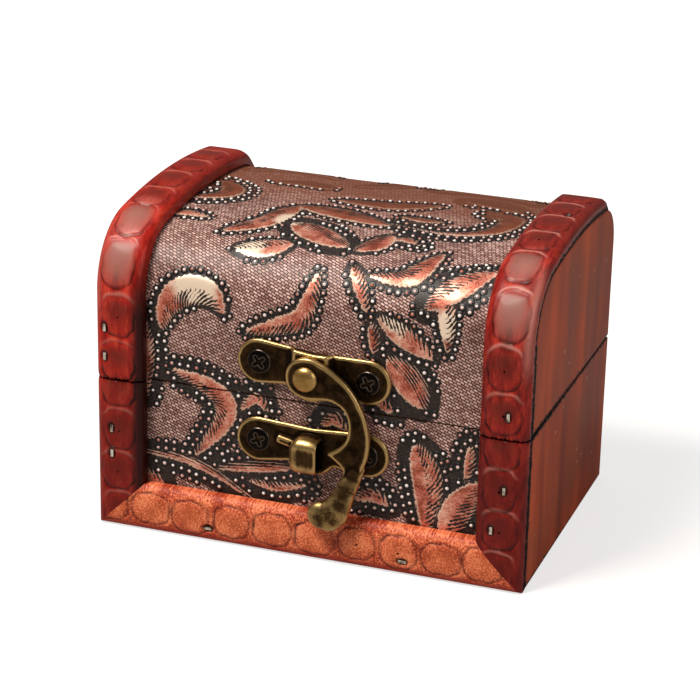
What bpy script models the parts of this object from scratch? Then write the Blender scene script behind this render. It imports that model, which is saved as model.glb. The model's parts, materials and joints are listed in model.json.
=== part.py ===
"""Small wooden keepsake box with a loaf-shaped lid, a swing-hook latch and two hinges.

Metres, +Z up, front towards -Y. The origin is the middle of the base's underside,
halfway between the end panels and halfway between their front and back edges.
"""
import math

import bmesh
import bpy
from mathutils import Matrix, Vector

# Carcass: two end panels with boards between them
BOX_WIDTH = 0.0906
BODY_DEPTH = 0.0600
SEAM_HEIGHT = 0.0324
SEAM_GAP = 0.0004
END_PANEL_THICKNESS = 0.0050
BOARD_THICKNESS = 0.0040
BOTTOM_THICKNESS = 0.0035
COVER_THICKNESS = 0.0007
GLUE_GAP = 0.0003
EDGE_SOFTENING = 0.0003

# Loaf outline: straight walls, two shoulder arcs and a wide crown arc, all tangent
CROWN_HEIGHT = 0.0640
CROWN_RADIUS = 0.1500
CROWN_SETBACK = 0.0025
FRONT_SHOULDER_RADIUS = 0.0120
REAR_SHOULDER_RADIUS = 0.0090
SHOULDER_STEPS = 6
CROWN_STEPS = 12

# Wooden strips nailed along the ends and along the foot of the front
TRIM_WIDTH = 0.0100
TRIM_THICKNESS = 0.0030
TRIM_INNER_LIP = 0.0014
TRIM_INNER_ROUND = 0.0028
TRIM_OUTER_ROUND = 0.0011
TRIM_ROUND_STEPS = 3
LEFT_TRIM_REAR_CHAMFER = 0.0030
RIGHT_TRIM_REAR_CHAMFER = 0.0064
MITRE_GAP = 0.0003

# Brads that hold the strips: flat wire with a chisel end. Those of the base stand at shares of
# the seam's height
BRAD_WIDTH = 0.0006
BRAD_BREADTH = 0.0016
BRAD_LENGTH = 0.0080
BRAD_TIP_SHARE = 0.35
BRAD_SINK = 0.0001
BRAD_CLEARANCE = 0.00015
LID_LEFT_BRAD_INSET = 0.0021
LID_LEFT_UPPER_BRAD_RISE = 0.0110
LID_LEFT_LOWER_BRAD_RISE = 0.0048
LID_RIGHT_BRAD_INSET = 0.0041
LID_RIGHT_BRAD_RISE = 0.0047
LID_TOP_BRAD_INSET = 0.0033
BASE_LEFT_BRAD_INSET = 0.0034
BASE_LEFT_UPPER_BRAD_SHARE = 0.67
BASE_LEFT_LOWER_BRAD_SHARE = 0.50
BASE_RIGHT_UPPER_BRAD_INSET = 0.0043
BASE_RIGHT_UPPER_BRAD_SHARE = 0.67
BASE_RIGHT_LOWER_BRAD_INSET = 0.0066
BASE_RIGHT_LOWER_BRAD_SHARE = 0.40
FOOT_BRAD_INSET = 0.0245
FOOT_BRAD_HEIGHT = 0.0030

# Pressed brass plates of the latch, cut from one pattern
PLATE_THICKNESS = 0.0010
PLATE_SEAT_GAP = 0.0002
PLATE_RIM = 0.00025
PLATE_LOBE_RADIUS = 0.0044
PLATE_SCREW_SPREAD = 0.0114
PLATE_BELLY_RADIUS = 0.0056
PLATE_BELLY_DROP = 0.0004
PLATE_BELLY_HALF_ANGLE = 0.95
PLATE_WAIST_DROP = 0.0007
PLATE_LOBE_STEPS = 10
PLATE_BELLY_STEPS = 6
LATCH_PLATE_TILT = 0.055
LATCH_PIVOT_X = 0.0001
LATCH_PIVOT_RISE = 0.0067
PLATE_SHIFT = 0.0006
PLATE_RISE = 0.0006
BRIDGE_HALF_WIDTH = 0.0047
BRIDGE_RAMP = 0.0009
BRIDGE_RAISE = 0.0011

# Keeper: a hood pressed out of the lower plate, open towards the hook's nose. It hangs below the
# pivot by a share of the hook's reach, so that the nose meets it
KEEPER_PLATE_X = 0.0007
KEEPER_DROP_SHARE = 0.5576
KEEPER_SETOFF = 0.0011
KEEPER_SINK = 0.0010
KEEPER_WIDTH = 0.0061
KEEPER_HEIGHT = 0.0076
KEEPER_WALL = 0.0006
KEEPER_ROUND = 0.0016
KEEPER_ROUND_STEPS = 3
KEEPER_ROOM = 0.0003
KEEPER_FLOOR = 0.0002
NECK_LENGTH = 0.0034
NECK_BREADTH = 0.0011
NECK_HEIGHT = 0.0009
NECK_RISE = 0.0016

# Swing hook, drawn from its pivot; the outline is in shares of its reach
HOOK_REACH = 0.0278
HOOK_THICKNESS = 0.0015
HOOK_RIM = 0.00035
HOOK_RUNNING_GAP = 0.0002
HOOK_OUTLINE_SHARES = [
    (0.000, 0.155), (0.100, 0.130), (0.216, 0.065), (0.331, -0.032), (0.424, -0.180), (0.475, -0.335),
    (0.478, -0.511), (0.432, -0.648), (0.388, -0.773), (0.360, -0.890), (0.300, -0.990), (0.190, -1.040),
    (0.120, -0.990), (0.180, -0.930), (0.215, -0.870), (0.253, -0.800), (0.285, -0.710), (0.288, -0.655),
    (0.235, -0.600), (0.162, -0.550), (0.238, -0.500), (0.299, -0.435), (0.320, -0.360), (0.317, -0.266),
    (0.270, -0.187), (0.185, -0.148), (0.080, -0.152), (0.000, -0.158), (-0.110, -0.110), (-0.155, 0.000),
    (-0.110, 0.110)]
HOOK_NOSE_INDEX = 19
HOOK_CURVE_STEPS = 2
HOOK_BEND_START_SHARE = 0.68
HOOK_BEND_CUTS = 6
HOOK_BEND = 0.0021
KNOB_X_SHARE = 0.205
KNOB_HALF_WIDTH = 0.0044
KNOB_HALF_HEIGHT = 0.0031
KNOB_HALF_DEPTH = 0.0017
KNOB_FACETS = 16
KNOB_RINGS = 10

# Rivet that the hook turns on
RIVET_SHANK_RADIUS = 0.0011
RIVET_HOLE_CLEARANCE = 0.00015
RIVET_HEAD_RADIUS = 0.0026
RIVET_HEAD_HEIGHT = 0.0013
RIVET_TAIL_RADIUS = 0.0018
RIVET_TAIL_HEIGHT = 0.0006
RIVET_END_PLAY = 0.00015

# Countersunk cross-head screws of the latch plates
SCREW_HEAD_RADIUS = 0.0025
SCREW_HEAD_CROWN = 0.0005
SCREW_RIM_HEIGHT = 0.0002
SCREW_CONE_DEPTH = 0.0013
SCREW_SHANK_RADIUS = 0.0010
SCREW_LENGTH = 0.0048
SCREW_TIP_LENGTH = 0.0012
SCREW_CLEARANCE = 0.00015
RECESS_REACH = 0.0014
RECESS_BREADTH = 0.00055
RECESS_DEPTH = 0.0011
RECESS_TURNS = {"latch_left": 0.70, "latch_right": 0.55, "keeper_left": 0.42, "keeper_right": 0.95}
TURNED_STEPS = 20

# Butt hinges on the back
HINGE_INSET = 0.0193
HINGE_WIDTH = 0.0150
LEAF_HEIGHT = 0.0085
LEAF_THICKNESS = 0.0008
LEAF_CORNER = 0.0009
KNUCKLE_RADIUS = 0.0015
KNUCKLE_CLEARANCE = 0.0002
KNUCKLE_BULGE = 0.0001
TAB_INSET = 0.0001
TAB_LAP = 0.0003
HINGE_MIDDLE_SHARE = 0.36
PIN_RADIUS = 0.00065
PIN_CLEARANCE = 0.00012
PIN_HEAD_RADIUS = 0.0010
PIN_HEAD_HEIGHT = 0.0005
HINGE_NAIL_SPREAD = 0.0046
HINGE_NAIL_SETBACK = 0.0055
NAIL_HEAD_RADIUS = 0.0011
NAIL_HEAD_HEIGHT = 0.0005
NAIL_SHANK_RADIUS = 0.00045
NAIL_LENGTH = 0.0046
NAIL_TIP_LENGTH = 0.0010
NAIL_CLEARANCE = 0.00012
NAIL_STEPS = 12
CUT_OVERRUN = 0.0010

# Places that several pieces share
HALF_WIDTH = BOX_WIDTH / 2
HALF_DEPTH = BODY_DEPTH / 2
BASE_TOP = SEAM_HEIGHT - SEAM_GAP / 2
LID_FOOT = SEAM_HEIGHT + SEAM_GAP / 2
INNER_HALF_WIDTH = HALF_WIDTH - END_PANEL_THICKNESS - GLUE_GAP
BOARD_INSET = COVER_THICKNESS + GLUE_GAP
BOARD_INNER_INSET = BOARD_INSET + BOARD_THICKNESS
TRIM_PROUD = GLUE_GAP + TRIM_THICKNESS
PLATE_FRONT = PLATE_SEAT_GAP + PLATE_THICKNESS
HOOK_BACK = PLATE_FRONT + BRIDGE_RAISE + HOOK_RUNNING_GAP
HOOK_FRONT = HOOK_BACK + HOOK_THICKNESS
LATCH_PIVOT_Z = SEAM_HEIGHT + LATCH_PIVOT_RISE
KEEPER_PLATE_Z = LATCH_PIVOT_Z - KEEPER_DROP_SHARE * HOOK_REACH
HINGE_AXIS_Y = HALF_DEPTH + PLATE_SEAT_GAP + KNUCKLE_RADIUS

# Turns a flat shape drawn in XY so that it faces the front, or stands across the box
FACING_FRONT = (math.pi / 2, 0, 0)
FACING_BACK = (-math.pi / 2, 0, 0)
ACROSS_BOX = Matrix(((0, 0, 1, 0), (1, 0, 0, 0), (0, 1, 0, 0), (0, 0, 0, 1))).to_euler()

# Finishes: colour, roughness, metallic
FINISHES = {
    "lacquered_strip": ((0.45, 0.045, 0.030, 1), 0.30, 0.0),
    "foot_strip": ((0.62, 0.160, 0.080, 1), 0.35, 0.0),
    "stained_panel": ((0.20, 0.043, 0.026, 1), 0.42, 0.0),
    "raw_board": ((0.36, 0.200, 0.110, 1), 0.70, 0.0),
    "leatherette": ((0.26, 0.140, 0.130, 1), 0.50, 0.0),
    "antique_brass": ((0.17, 0.120, 0.060, 1), 0.40, 1.0),
    "black_steel": ((0.03, 0.028, 0.028, 1), 0.40, 1.0),
    "bright_steel": ((0.55, 0.530, 0.480, 1), 0.35, 1.0),
}


def clear_scene():
    """Remove whatever the opened file holds."""
    for item in list(bpy.data.objects):
        bpy.data.objects.remove(item, do_unlink=True)


def make_collection(name):
    collection = bpy.data.collections.new(name)
    bpy.context.scene.collection.children.link(collection)
    return collection


def make_finish(name, finish):
    """A Principled material of its own for one piece."""
    colour, roughness, metallic = FINISHES[finish]
    material = bpy.data.materials.new(name + "_" + finish)
    material.use_nodes = True
    shader = material.node_tree.nodes["Principled BSDF"]
    shader.inputs["Base Color"].default_value = colour
    shader.inputs["Roughness"].default_value = roughness
    shader.inputs["Metallic"].default_value = metallic
    material.diffuse_color = colour
    return material


clear_scene()
PARTS = make_collection("keepsake_box")
CUTTERS = make_collection("cutters")


def make_empty(name, location, parent=None, tilt=0.0):
    """A guide that carries pieces; it stays level unless it is tilted in the front plane."""
    empty = bpy.data.objects.new(name, None)
    PARTS.objects.link(empty)
    empty.empty_display_size = SEAM_HEIGHT / 2
    empty.parent = parent
    empty.location = location
    empty.rotation_euler = (0, tilt, 0)
    return empty


def place(mesh, name, finish, location=(0, 0, 0), rotation=(0, 0, 0), parent=None):
    """Put a finished mesh into the parts collection as one named piece."""
    piece = bpy.data.objects.new(name, mesh)
    PARTS.objects.link(piece)
    mesh.materials.clear()
    mesh.materials.append(make_finish(name, finish))
    piece.parent = parent
    piece.location = location
    piece.rotation_euler = rotation
    return piece


def place_cutter(mesh, name, location=(0, 0, 0), rotation=(0, 0, 0), parent=None):
    """A shape that is only subtracted from pieces or joined to them."""
    cutter = bpy.data.objects.new(name, mesh)
    CUTTERS.objects.link(cutter)
    cutter.hide_render = True
    cutter.display_type = "WIRE"
    cutter.parent = parent
    cutter.location = location
    cutter.rotation_euler = rotation
    return cutter


def combine(piece, tool, operation="DIFFERENCE", solver="EXACT"):
    step = piece.modifiers.new(operation.lower() + "_" + tool.name, "BOOLEAN")
    step.operation = operation
    step.object = tool
    step.solver = solver


def soften(piece, width=EDGE_SOFTENING, segments=2):
    """Ease the sharp edges as sanding does."""
    step = piece.modifiers.new("eased_edges", "BEVEL")
    step.width = width
    step.segments = segments
    step.limit_method = "ANGLE"


def mesh_from(bm, name, smooth=False):
    bmesh.ops.recalc_face_normals(bm, faces=bm.faces)
    mesh = bpy.data.meshes.new(name)
    bm.to_mesh(mesh)
    bm.free()
    if smooth:
        mesh.shade_smooth()
        mesh.set_sharp_from_angle(angle=math.radians(40))
    return mesh


def box_mesh(name, low, high):
    """A box between two corners."""
    bm = bmesh.new()
    size = [top - bottom for bottom, top in zip(low, high)]
    middle = [(top + bottom) / 2 for bottom, top in zip(low, high)]
    bmesh.ops.create_cube(bm, size=1.0, matrix=Matrix.LocRotScale(middle, None, size))
    return mesh_from(bm, name)


def rod_mesh(name, radius, length, facets, end_radius=None):
    """A rod along X about the origin, or a cone frustum if its two ends differ."""
    bm = bmesh.new()
    along_x = Matrix.Rotation(math.pi / 2, 4, "Y")
    far_radius = radius if end_radius is None else end_radius
    bmesh.ops.create_cone(bm, cap_ends=True, segments=facets, radius1=radius, radius2=far_radius,
                          depth=length, matrix=along_x)
    return mesh_from(bm, name, smooth=True)


def arc_points(centre, radius, start, end, steps):
    """Points on an arc, first and last included; angles are in radians."""
    angles = [start + (end - start) * step / steps for step in range(steps + 1)]
    return [(centre[0] + radius * math.cos(a), centre[1] + radius * math.sin(a)) for a in angles]


def outline_mesh(name, outline, thickness, rim=0.0, corner_index=None, curve_steps=None):
    """Fill a flat outline in XY and give it a thickness about z = 0, with eased rims."""
    curve = bpy.data.curves.new(name, "CURVE")
    curve.dimensions = "2D"
    curve.fill_mode = "BOTH"
    curve.extrude = thickness / 2 - rim
    curve.bevel_depth = rim
    curve.bevel_resolution = 1
    curve.offset = -rim
    if curve_steps is None:
        spline = curve.splines.new("POLY")
        spline.points.add(len(outline) - 1)
        for point, (x, y) in zip(spline.points, outline):
            point.co = (x, y, 0, 1)
    else:
        spline = curve.splines.new("BEZIER")
        spline.bezier_points.add(len(outline) - 1)
        spline.resolution_u = curve_steps
        for index, (point, (x, y)) in enumerate(zip(spline.bezier_points, outline)):
            point.co = (x, y, 0)
            handle = "VECTOR" if index == corner_index else "AUTO"
            point.handle_left_type = handle
            point.handle_right_type = handle
    spline.use_cyclic_u = True
    guide = bpy.data.objects.new(name, curve)
    bpy.context.scene.collection.objects.link(guide)
    evaluated = guide.evaluated_get(bpy.context.evaluated_depsgraph_get())
    mesh = bpy.data.meshes.new_from_object(evaluated)
    bpy.data.objects.remove(guide)
    bpy.data.curves.remove(curve)
    bm = bmesh.new()
    bm.from_mesh(mesh)
    bpy.data.meshes.remove(mesh)
    bmesh.ops.remove_doubles(bm, verts=bm.verts, dist=EDGE_SOFTENING / 100)
    return mesh_from(bm, name, smooth=True)


def turned_piece(name, finish, profile, location, rotation, parent, steps=TURNED_STEPS):
    """A round piece: its outer side from top to bottom, turned about its own Z."""
    bm = bmesh.new()
    verts = [bm.verts.new((radius, 0, height)) for radius, height in profile]
    for upper, lower in zip(verts, verts[1:]):
        bm.edges.new((upper, lower))
    mesh = bpy.data.meshes.new(name)
    bm.to_mesh(mesh)
    bm.free()
    piece = place(mesh, name, finish, location, rotation, parent)
    turn = piece.modifiers.new("turned", "SCREW")
    turn.steps = steps
    turn.render_steps = steps
    turn.use_merge_vertices = True
    turn.merge_threshold = EDGE_SOFTENING / 100
    turn.use_smooth_shade = True
    return piece


def loaf_arcs(offset):
    """Front shoulder, crown and rear shoulder of the outline moved out by offset."""
    crown_y = CROWN_SETBACK
    crown_z = CROWN_HEIGHT - CROWN_RADIUS
    touches = []
    centres = []
    for side, radius in ((-1, FRONT_SHOULDER_RADIUS), (1, REAR_SHOULDER_RADIUS)):
        across = side * (HALF_DEPTH - radius) - crown_y
        up = math.sqrt((CROWN_RADIUS - radius) ** 2 - across ** 2)
        centres.append((crown_y + across, crown_z + up))
        touches.append(math.atan2(up, across))
    front = (centres[0], FRONT_SHOULDER_RADIUS + offset, math.pi, touches[0], SHOULDER_STEPS)
    crown = ((crown_y, crown_z), CROWN_RADIUS + offset, touches[0], touches[1], CROWN_STEPS)
    rear = (centres[1], REAR_SHOULDER_RADIUS + offset, touches[1], 0, SHOULDER_STEPS)
    return front, crown, rear


def loaf_roof(offset):
    """Points over the lid from the top of the front wall to the top of the rear wall."""
    front, crown, rear = loaf_arcs(offset)
    return arc_points(*front) + arc_points(*crown)[1:] + arc_points(*rear)[1:]


def loaf_outline(offset, foot):
    """The roof points with a straight wall down to the foot at both ends."""
    return [(-HALF_DEPTH - offset, foot)] + loaf_roof(offset) + [(HALF_DEPTH + offset, foot)]


FRONT_WALL_TOP = loaf_arcs(0)[0][0][1]
REAR_WALL_TOP = loaf_arcs(0)[2][0][1]

base_guide = make_empty("base_guide", (0, 0, 0))
lid_guide = make_empty("lid_hinge_line", (0, HINGE_AXIS_Y, SEAM_HEIGHT), base_guide)
LID_SHIFT = Vector((0, -HINGE_AXIS_Y, -SEAM_HEIGHT))


def lid_place(x, y, z):
    """A place in the box's frame, told from the lid's hinge line."""
    return Vector((x, y, z)) + LID_SHIFT


def end_panels():
    """Panels at both ends, sawn through at the seam into a base part and a lid part."""
    middle = HALF_WIDTH - END_PANEL_THICKNESS / 2
    made = {}
    for side, sign in (("left", -1), ("right", 1)):
        name = "base_" + side + "_end_panel"
        low = (-END_PANEL_THICKNESS / 2, -HALF_DEPTH, 0)
        high = (END_PANEL_THICKNESS / 2, HALF_DEPTH, BASE_TOP)
        made[name] = place(box_mesh(name, low, high), name, "stained_panel", (sign * middle, 0, 0),
                           parent=base_guide)
        soften(made[name])
        name = "lid_" + side + "_end_panel"
        mesh = outline_mesh(name, loaf_outline(0, LID_FOOT), END_PANEL_THICKNESS)
        made[name] = place(mesh, name, "stained_panel", lid_place(sign * middle, 0, 0), ACROSS_BOX,
                           lid_guide)
    return made


def carcass_boards():
    """Front, back and bottom boards, the lid's upright boards and its bent top."""
    made = {}
    inner = HALF_DEPTH - BOARD_INSET
    deep = HALF_DEPTH - BOARD_INNER_INSET
    across = INNER_HALF_WIDTH
    lid_front_top = FRONT_WALL_TOP - GLUE_GAP
    lid_back_top = REAR_WALL_TOP - GLUE_GAP
    boxes = {
        "base_front_board": ((-across, -inner, 0), (across, -deep, BASE_TOP), base_guide),
        "base_back_board": ((-across, deep, 0), (across, inner, BASE_TOP), base_guide),
        "bottom_board": ((-across, GLUE_GAP - deep, 0), (across, deep - GLUE_GAP, BOTTOM_THICKNESS),
                         base_guide),
        "lid_front_board": ((-across, -inner, LID_FOOT), (across, -deep, lid_front_top), lid_guide),
        "lid_back_board": ((-across, deep, LID_FOOT), (across, inner, lid_back_top), lid_guide),
    }
    for name, (low, high, guide) in boxes.items():
        start = (0, 0, 0) if guide is base_guide else LID_SHIFT
        made[name] = place(box_mesh(name, low, high), name, "raw_board", start, parent=guide)
    roof = loaf_roof(-BOARD_INSET) + loaf_roof(-BOARD_INNER_INSET)[::-1]
    mesh = outline_mesh("lid_top_board", roof, 2 * across)
    made["lid_top_board"] = place(mesh, "lid_top_board", "raw_board", LID_SHIFT, ACROSS_BOX, lid_guide)
    return made


def leatherette_covers():
    """The glued-on sheet: one piece on each wall of the base and one wrapped over the lid."""
    made = {}
    skin = HALF_DEPTH - COVER_THICKNESS
    across = INNER_HALF_WIDTH
    walls = {
        "base_front_cover": ((-across, -HALF_DEPTH, GLUE_GAP), (across, -skin, BASE_TOP)),
        "base_back_cover": ((-across, skin, GLUE_GAP), (across, HALF_DEPTH, BASE_TOP)),
    }
    for name, (low, high) in walls.items():
        made[name] = place(box_mesh(name, low, high), name, "leatherette", parent=base_guide)
    wrap = loaf_outline(0, LID_FOOT) + loaf_outline(-COVER_THICKNESS, LID_FOOT)[::-1]
    mesh = outline_mesh("lid_cover", wrap, 2 * across)
    made["lid_cover"] = place(mesh, "lid_cover", "leatherette", LID_SHIFT, ACROSS_BOX, lid_guide)
    return made


def trim_section():
    """Strip's section: how far in from its outer edge, and how far out from the body."""
    crown = TRIM_PROUD
    outer = arc_points((TRIM_OUTER_ROUND, crown - TRIM_OUTER_ROUND), TRIM_OUTER_ROUND, math.pi,
                       math.pi / 2, TRIM_ROUND_STEPS)
    fall = TRIM_THICKNESS - TRIM_INNER_LIP
    quarter = arc_points((0, 0), 1, math.pi / 2, 0, TRIM_ROUND_STEPS)
    inner = [(TRIM_WIDTH - TRIM_INNER_ROUND + x * TRIM_INNER_ROUND, crown - fall + y * fall)
             for x, y in quarter]
    return [(0, GLUE_GAP)] + outer + inner + [(TRIM_WIDTH, GLUE_GAP)]


def close_ring(bm, points):
    """A closed ring of edges through the points."""
    ring = [bm.verts.new(point) for point in points]
    return [bm.edges.new(pair) for pair in zip(ring, ring[1:] + ring[:1])]


def run_on(bm, edges, reach):
    """Carry a ring of edges on in a straight line and give the new ring."""
    made = bmesh.ops.extrude_edge_only(bm, edges=edges)["geom"]
    verts = [item for item in made if isinstance(item, bmesh.types.BMVert)]
    bmesh.ops.translate(bm, verts=verts, vec=reach)
    fresh = set(verts)
    return [item for item in made if isinstance(item, bmesh.types.BMEdge) and fresh.issuperset(item.verts)]


def turn_on(bm, edges, arc):
    """Carry a ring of edges round one arc of the loaf outline."""
    (y, z), _, start, end, steps = arc
    made = bmesh.ops.spin(bm, geom=edges, cent=(0, y, z), axis=(-1, 0, 0), angle=start - end, steps=steps,
                          use_duplicate=False)["geom_last"]
    return [item for item in made if isinstance(item, bmesh.types.BMEdge)]


def cap_ends(bm):
    open_edges = [edge for edge in bm.edges if edge.is_boundary]
    bmesh.ops.edgeloop_fill(bm, edges=open_edges)


def slice_off(bm, point, normal):
    """Cut away what lies beyond a plane and close the cut."""
    everything = bm.verts[:] + bm.edges[:] + bm.faces[:]
    bmesh.ops.bisect_plane(bm, geom=everything, plane_co=point, plane_no=normal, clear_outer=True)
    cap_ends(bm)


def side_trim_points(sign, foot):
    """The strip's section standing on the front wall at one end of the box."""
    return [(sign * (HALF_WIDTH - inward), -HALF_DEPTH - out, foot) for inward, out in trim_section()]


def wooden_strips():
    """Strips over both ends of the lid, down both ends of the base and along its foot."""
    made = {}
    slack = MITRE_GAP / 2 * math.sqrt(2)
    for side, sign, chamfer in (("left", -1, LEFT_TRIM_REAR_CHAMFER), ("right", 1, RIGHT_TRIM_REAR_CHAMFER)):
        bm = bmesh.new()
        ring = close_ring(bm, side_trim_points(sign, 0))
        run_on(bm, ring, (0, 0, BASE_TOP))
        cap_ends(bm)
        slice_off(bm, (sign * HALF_WIDTH, 0, slack), (-sign, 0, -1))
        name = "base_" + side + "_trim"
        made[name] = place(mesh_from(bm, name, smooth=True), name, "lacquered_strip", parent=base_guide)

        bm = bmesh.new()
        ring = close_ring(bm, side_trim_points(sign, LID_FOOT))
        ring = run_on(bm, ring, (0, 0, FRONT_WALL_TOP - LID_FOOT))
        for arc in loaf_arcs(0):
            ring = turn_on(bm, ring, arc)
        cap_ends(bm)
        slice_off(bm, (0, HALF_DEPTH, 0), (0, 1, 0))
        rear_y, rear_z = loaf_arcs(0)[2][0]
        corner_rise = math.sqrt((REAR_SHOULDER_RADIUS + TRIM_PROUD) ** 2 - REAR_SHOULDER_RADIUS ** 2)
        slice_off(bm, (0, HALF_DEPTH, rear_z + corner_rise - chamfer), (0, 1, 1))
        name = "lid_" + side + "_trim"
        made[name] = place(mesh_from(bm, name, smooth=True), name, "lacquered_strip", LID_SHIFT,
                           parent=lid_guide)

    bm = bmesh.new()
    ring = close_ring(bm, [(-HALF_WIDTH, -HALF_DEPTH - out, up) for up, out in trim_section()])
    run_on(bm, ring, (BOX_WIDTH, 0, 0))
    cap_ends(bm)
    for sign in (-1, 1):
        slice_off(bm, (sign * (HALF_WIDTH - slack), 0, 0), (sign, 0, 1))
    mesh = mesh_from(bm, "bottom_front_trim", smooth=True)
    made["bottom_front_trim"] = place(mesh, "bottom_front_trim", "foot_strip", parent=base_guide)
    return made


def brad_mesh(name, grow, length):
    """Flat wire along Z with its head at z = 0 and a chisel end below."""
    bm = bmesh.new()
    size = (BRAD_WIDTH + 2 * grow, BRAD_BREADTH + 2 * grow, length)
    bmesh.ops.create_cube(bm, size=1.0, matrix=Matrix.LocRotScale((0, 0, -length / 2), None, size))
    tip = [vert for vert in bm.verts if vert.co.z < -length / 2]
    bmesh.ops.scale(bm, verts=tip, vec=(BRAD_TIP_SHARE, 1, 1))
    return mesh_from(bm, name)


def brads(hosts):
    """Each brad stands square to its strip and goes on into the wood behind it."""
    front = -HALF_DEPTH - TRIM_PROUD + BRAD_SINK
    left = -HALF_WIDTH
    right = HALF_WIDTH
    top_x = right - LID_TOP_BRAD_INSET
    _, crown, _ = loaf_arcs(TRIM_PROUD - BRAD_SINK)
    top_y, top_z = crown[0][0], crown[0][1] + crown[1]
    upright = (0, 0, 0)
    flat = (math.pi / 2, math.pi / 2, 0)
    places = [
        ("lid_left_upper_brad", left + LID_LEFT_BRAD_INSET, front, SEAM_HEIGHT + LID_LEFT_UPPER_BRAD_RISE,
         FACING_FRONT, ["lid_left_trim", "lid_left_end_panel"]),
        ("lid_left_lower_brad", left + LID_LEFT_BRAD_INSET, front, SEAM_HEIGHT + LID_LEFT_LOWER_BRAD_RISE,
         FACING_FRONT, ["lid_left_trim", "lid_left_end_panel"]),
        ("lid_right_front_brad", right - LID_RIGHT_BRAD_INSET, front, SEAM_HEIGHT + LID_RIGHT_BRAD_RISE,
         FACING_FRONT, ["lid_right_trim", "lid_right_end_panel"]),
        ("lid_right_top_brad", top_x, top_y, top_z, upright, ["lid_right_trim", "lid_right_end_panel"]),
        ("base_left_upper_brad", left + BASE_LEFT_BRAD_INSET, front, SEAM_HEIGHT * BASE_LEFT_UPPER_BRAD_SHARE,
         FACING_FRONT, ["base_left_trim", "base_left_end_panel"]),
        ("base_left_lower_brad", left + BASE_LEFT_BRAD_INSET, front, SEAM_HEIGHT * BASE_LEFT_LOWER_BRAD_SHARE,
         FACING_FRONT, ["base_left_trim", "base_left_end_panel"]),
        ("base_right_upper_brad", right - BASE_RIGHT_UPPER_BRAD_INSET, front,
         SEAM_HEIGHT * BASE_RIGHT_UPPER_BRAD_SHARE, FACING_FRONT,
         ["base_right_trim", "base_right_end_panel"]),
        ("base_right_lower_brad", right - BASE_RIGHT_LOWER_BRAD_INSET, front,
         SEAM_HEIGHT * BASE_RIGHT_LOWER_BRAD_SHARE, FACING_FRONT,
         ["base_right_trim", "base_front_cover", "base_front_board"]),
        ("foot_left_brad", left + FOOT_BRAD_INSET, front, FOOT_BRAD_HEIGHT, flat,
         ["bottom_front_trim", "base_front_cover", "base_front_board"]),
        ("foot_right_brad", right - FOOT_BRAD_INSET, front, FOOT_BRAD_HEIGHT, flat,
         ["bottom_front_trim", "base_front_cover", "base_front_board"]),
    ]
    for name, x, y, z, turn, carriers in places:
        on_lid = name.startswith("lid")
        spot = lid_place(x, y, z) if on_lid else Vector((x, y, z))
        guide = lid_guide if on_lid else base_guide
        hosts[name] = place(brad_mesh(name, 0, BRAD_LENGTH - BRAD_CLEARANCE), name, "bright_steel", spot,
                            turn, guide)
        outward = CUT_OVERRUN * Vector((0, 0, 1) if turn == upright else (0, -1, 0))
        slot = place_cutter(brad_mesh(name + "_slot", BRAD_CLEARANCE, BRAD_LENGTH + CUT_OVERRUN),
                            name + "_slot", spot + outward, turn, guide)
        for carrier in carriers:
            combine(hosts[carrier], slot)


def plate_outline():
    """Plate pattern about its middle: a lobe for each screw, a level top and a round belly."""
    lobe = PLATE_LOBE_RADIUS
    spread = PLATE_SCREW_SPREAD
    half_pi = math.pi / 2
    belly_top = -half_pi - PLATE_BELLY_HALF_ANGLE
    points = arc_points((-spread, 0), lobe, half_pi, half_pi + math.pi, PLATE_LOBE_STEPS)
    points += arc_points((0, -PLATE_BELLY_DROP), PLATE_BELLY_RADIUS, belly_top, -half_pi * 2 - belly_top,
                         PLATE_BELLY_STEPS)
    points += arc_points((spread, 0), lobe, -half_pi, half_pi, PLATE_LOBE_STEPS)
    points.append((0, lobe - PLATE_WAIST_DROP))
    return points[::-1]


def screw_profile():
    """Oval countersunk head over a plain shank; the head's rim is at height zero."""
    crown = [(SCREW_HEAD_RADIUS * math.sin(a), SCREW_RIM_HEIGHT + SCREW_HEAD_CROWN * math.cos(a))
             for a in (0, math.pi / 8, math.pi / 4, math.pi * 3 / 8, math.pi / 2)]
    straight_end = SCREW_TIP_LENGTH - SCREW_LENGTH
    return crown + [(SCREW_HEAD_RADIUS, 0), (SCREW_SHANK_RADIUS, -SCREW_CONE_DEPTH),
                    (SCREW_SHANK_RADIUS, straight_end), (0, -SCREW_LENGTH)]


def recess_outline():
    """The cross that a screwdriver fits."""
    long, short = RECESS_REACH, RECESS_BREADTH / 2
    return [(long, short), (short, short), (short, long), (-short, long), (-short, short), (-long, short),
            (-long, -short), (-short, -short), (-short, -long), (short, -long), (short, -short),
            (long, -short)]


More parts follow.
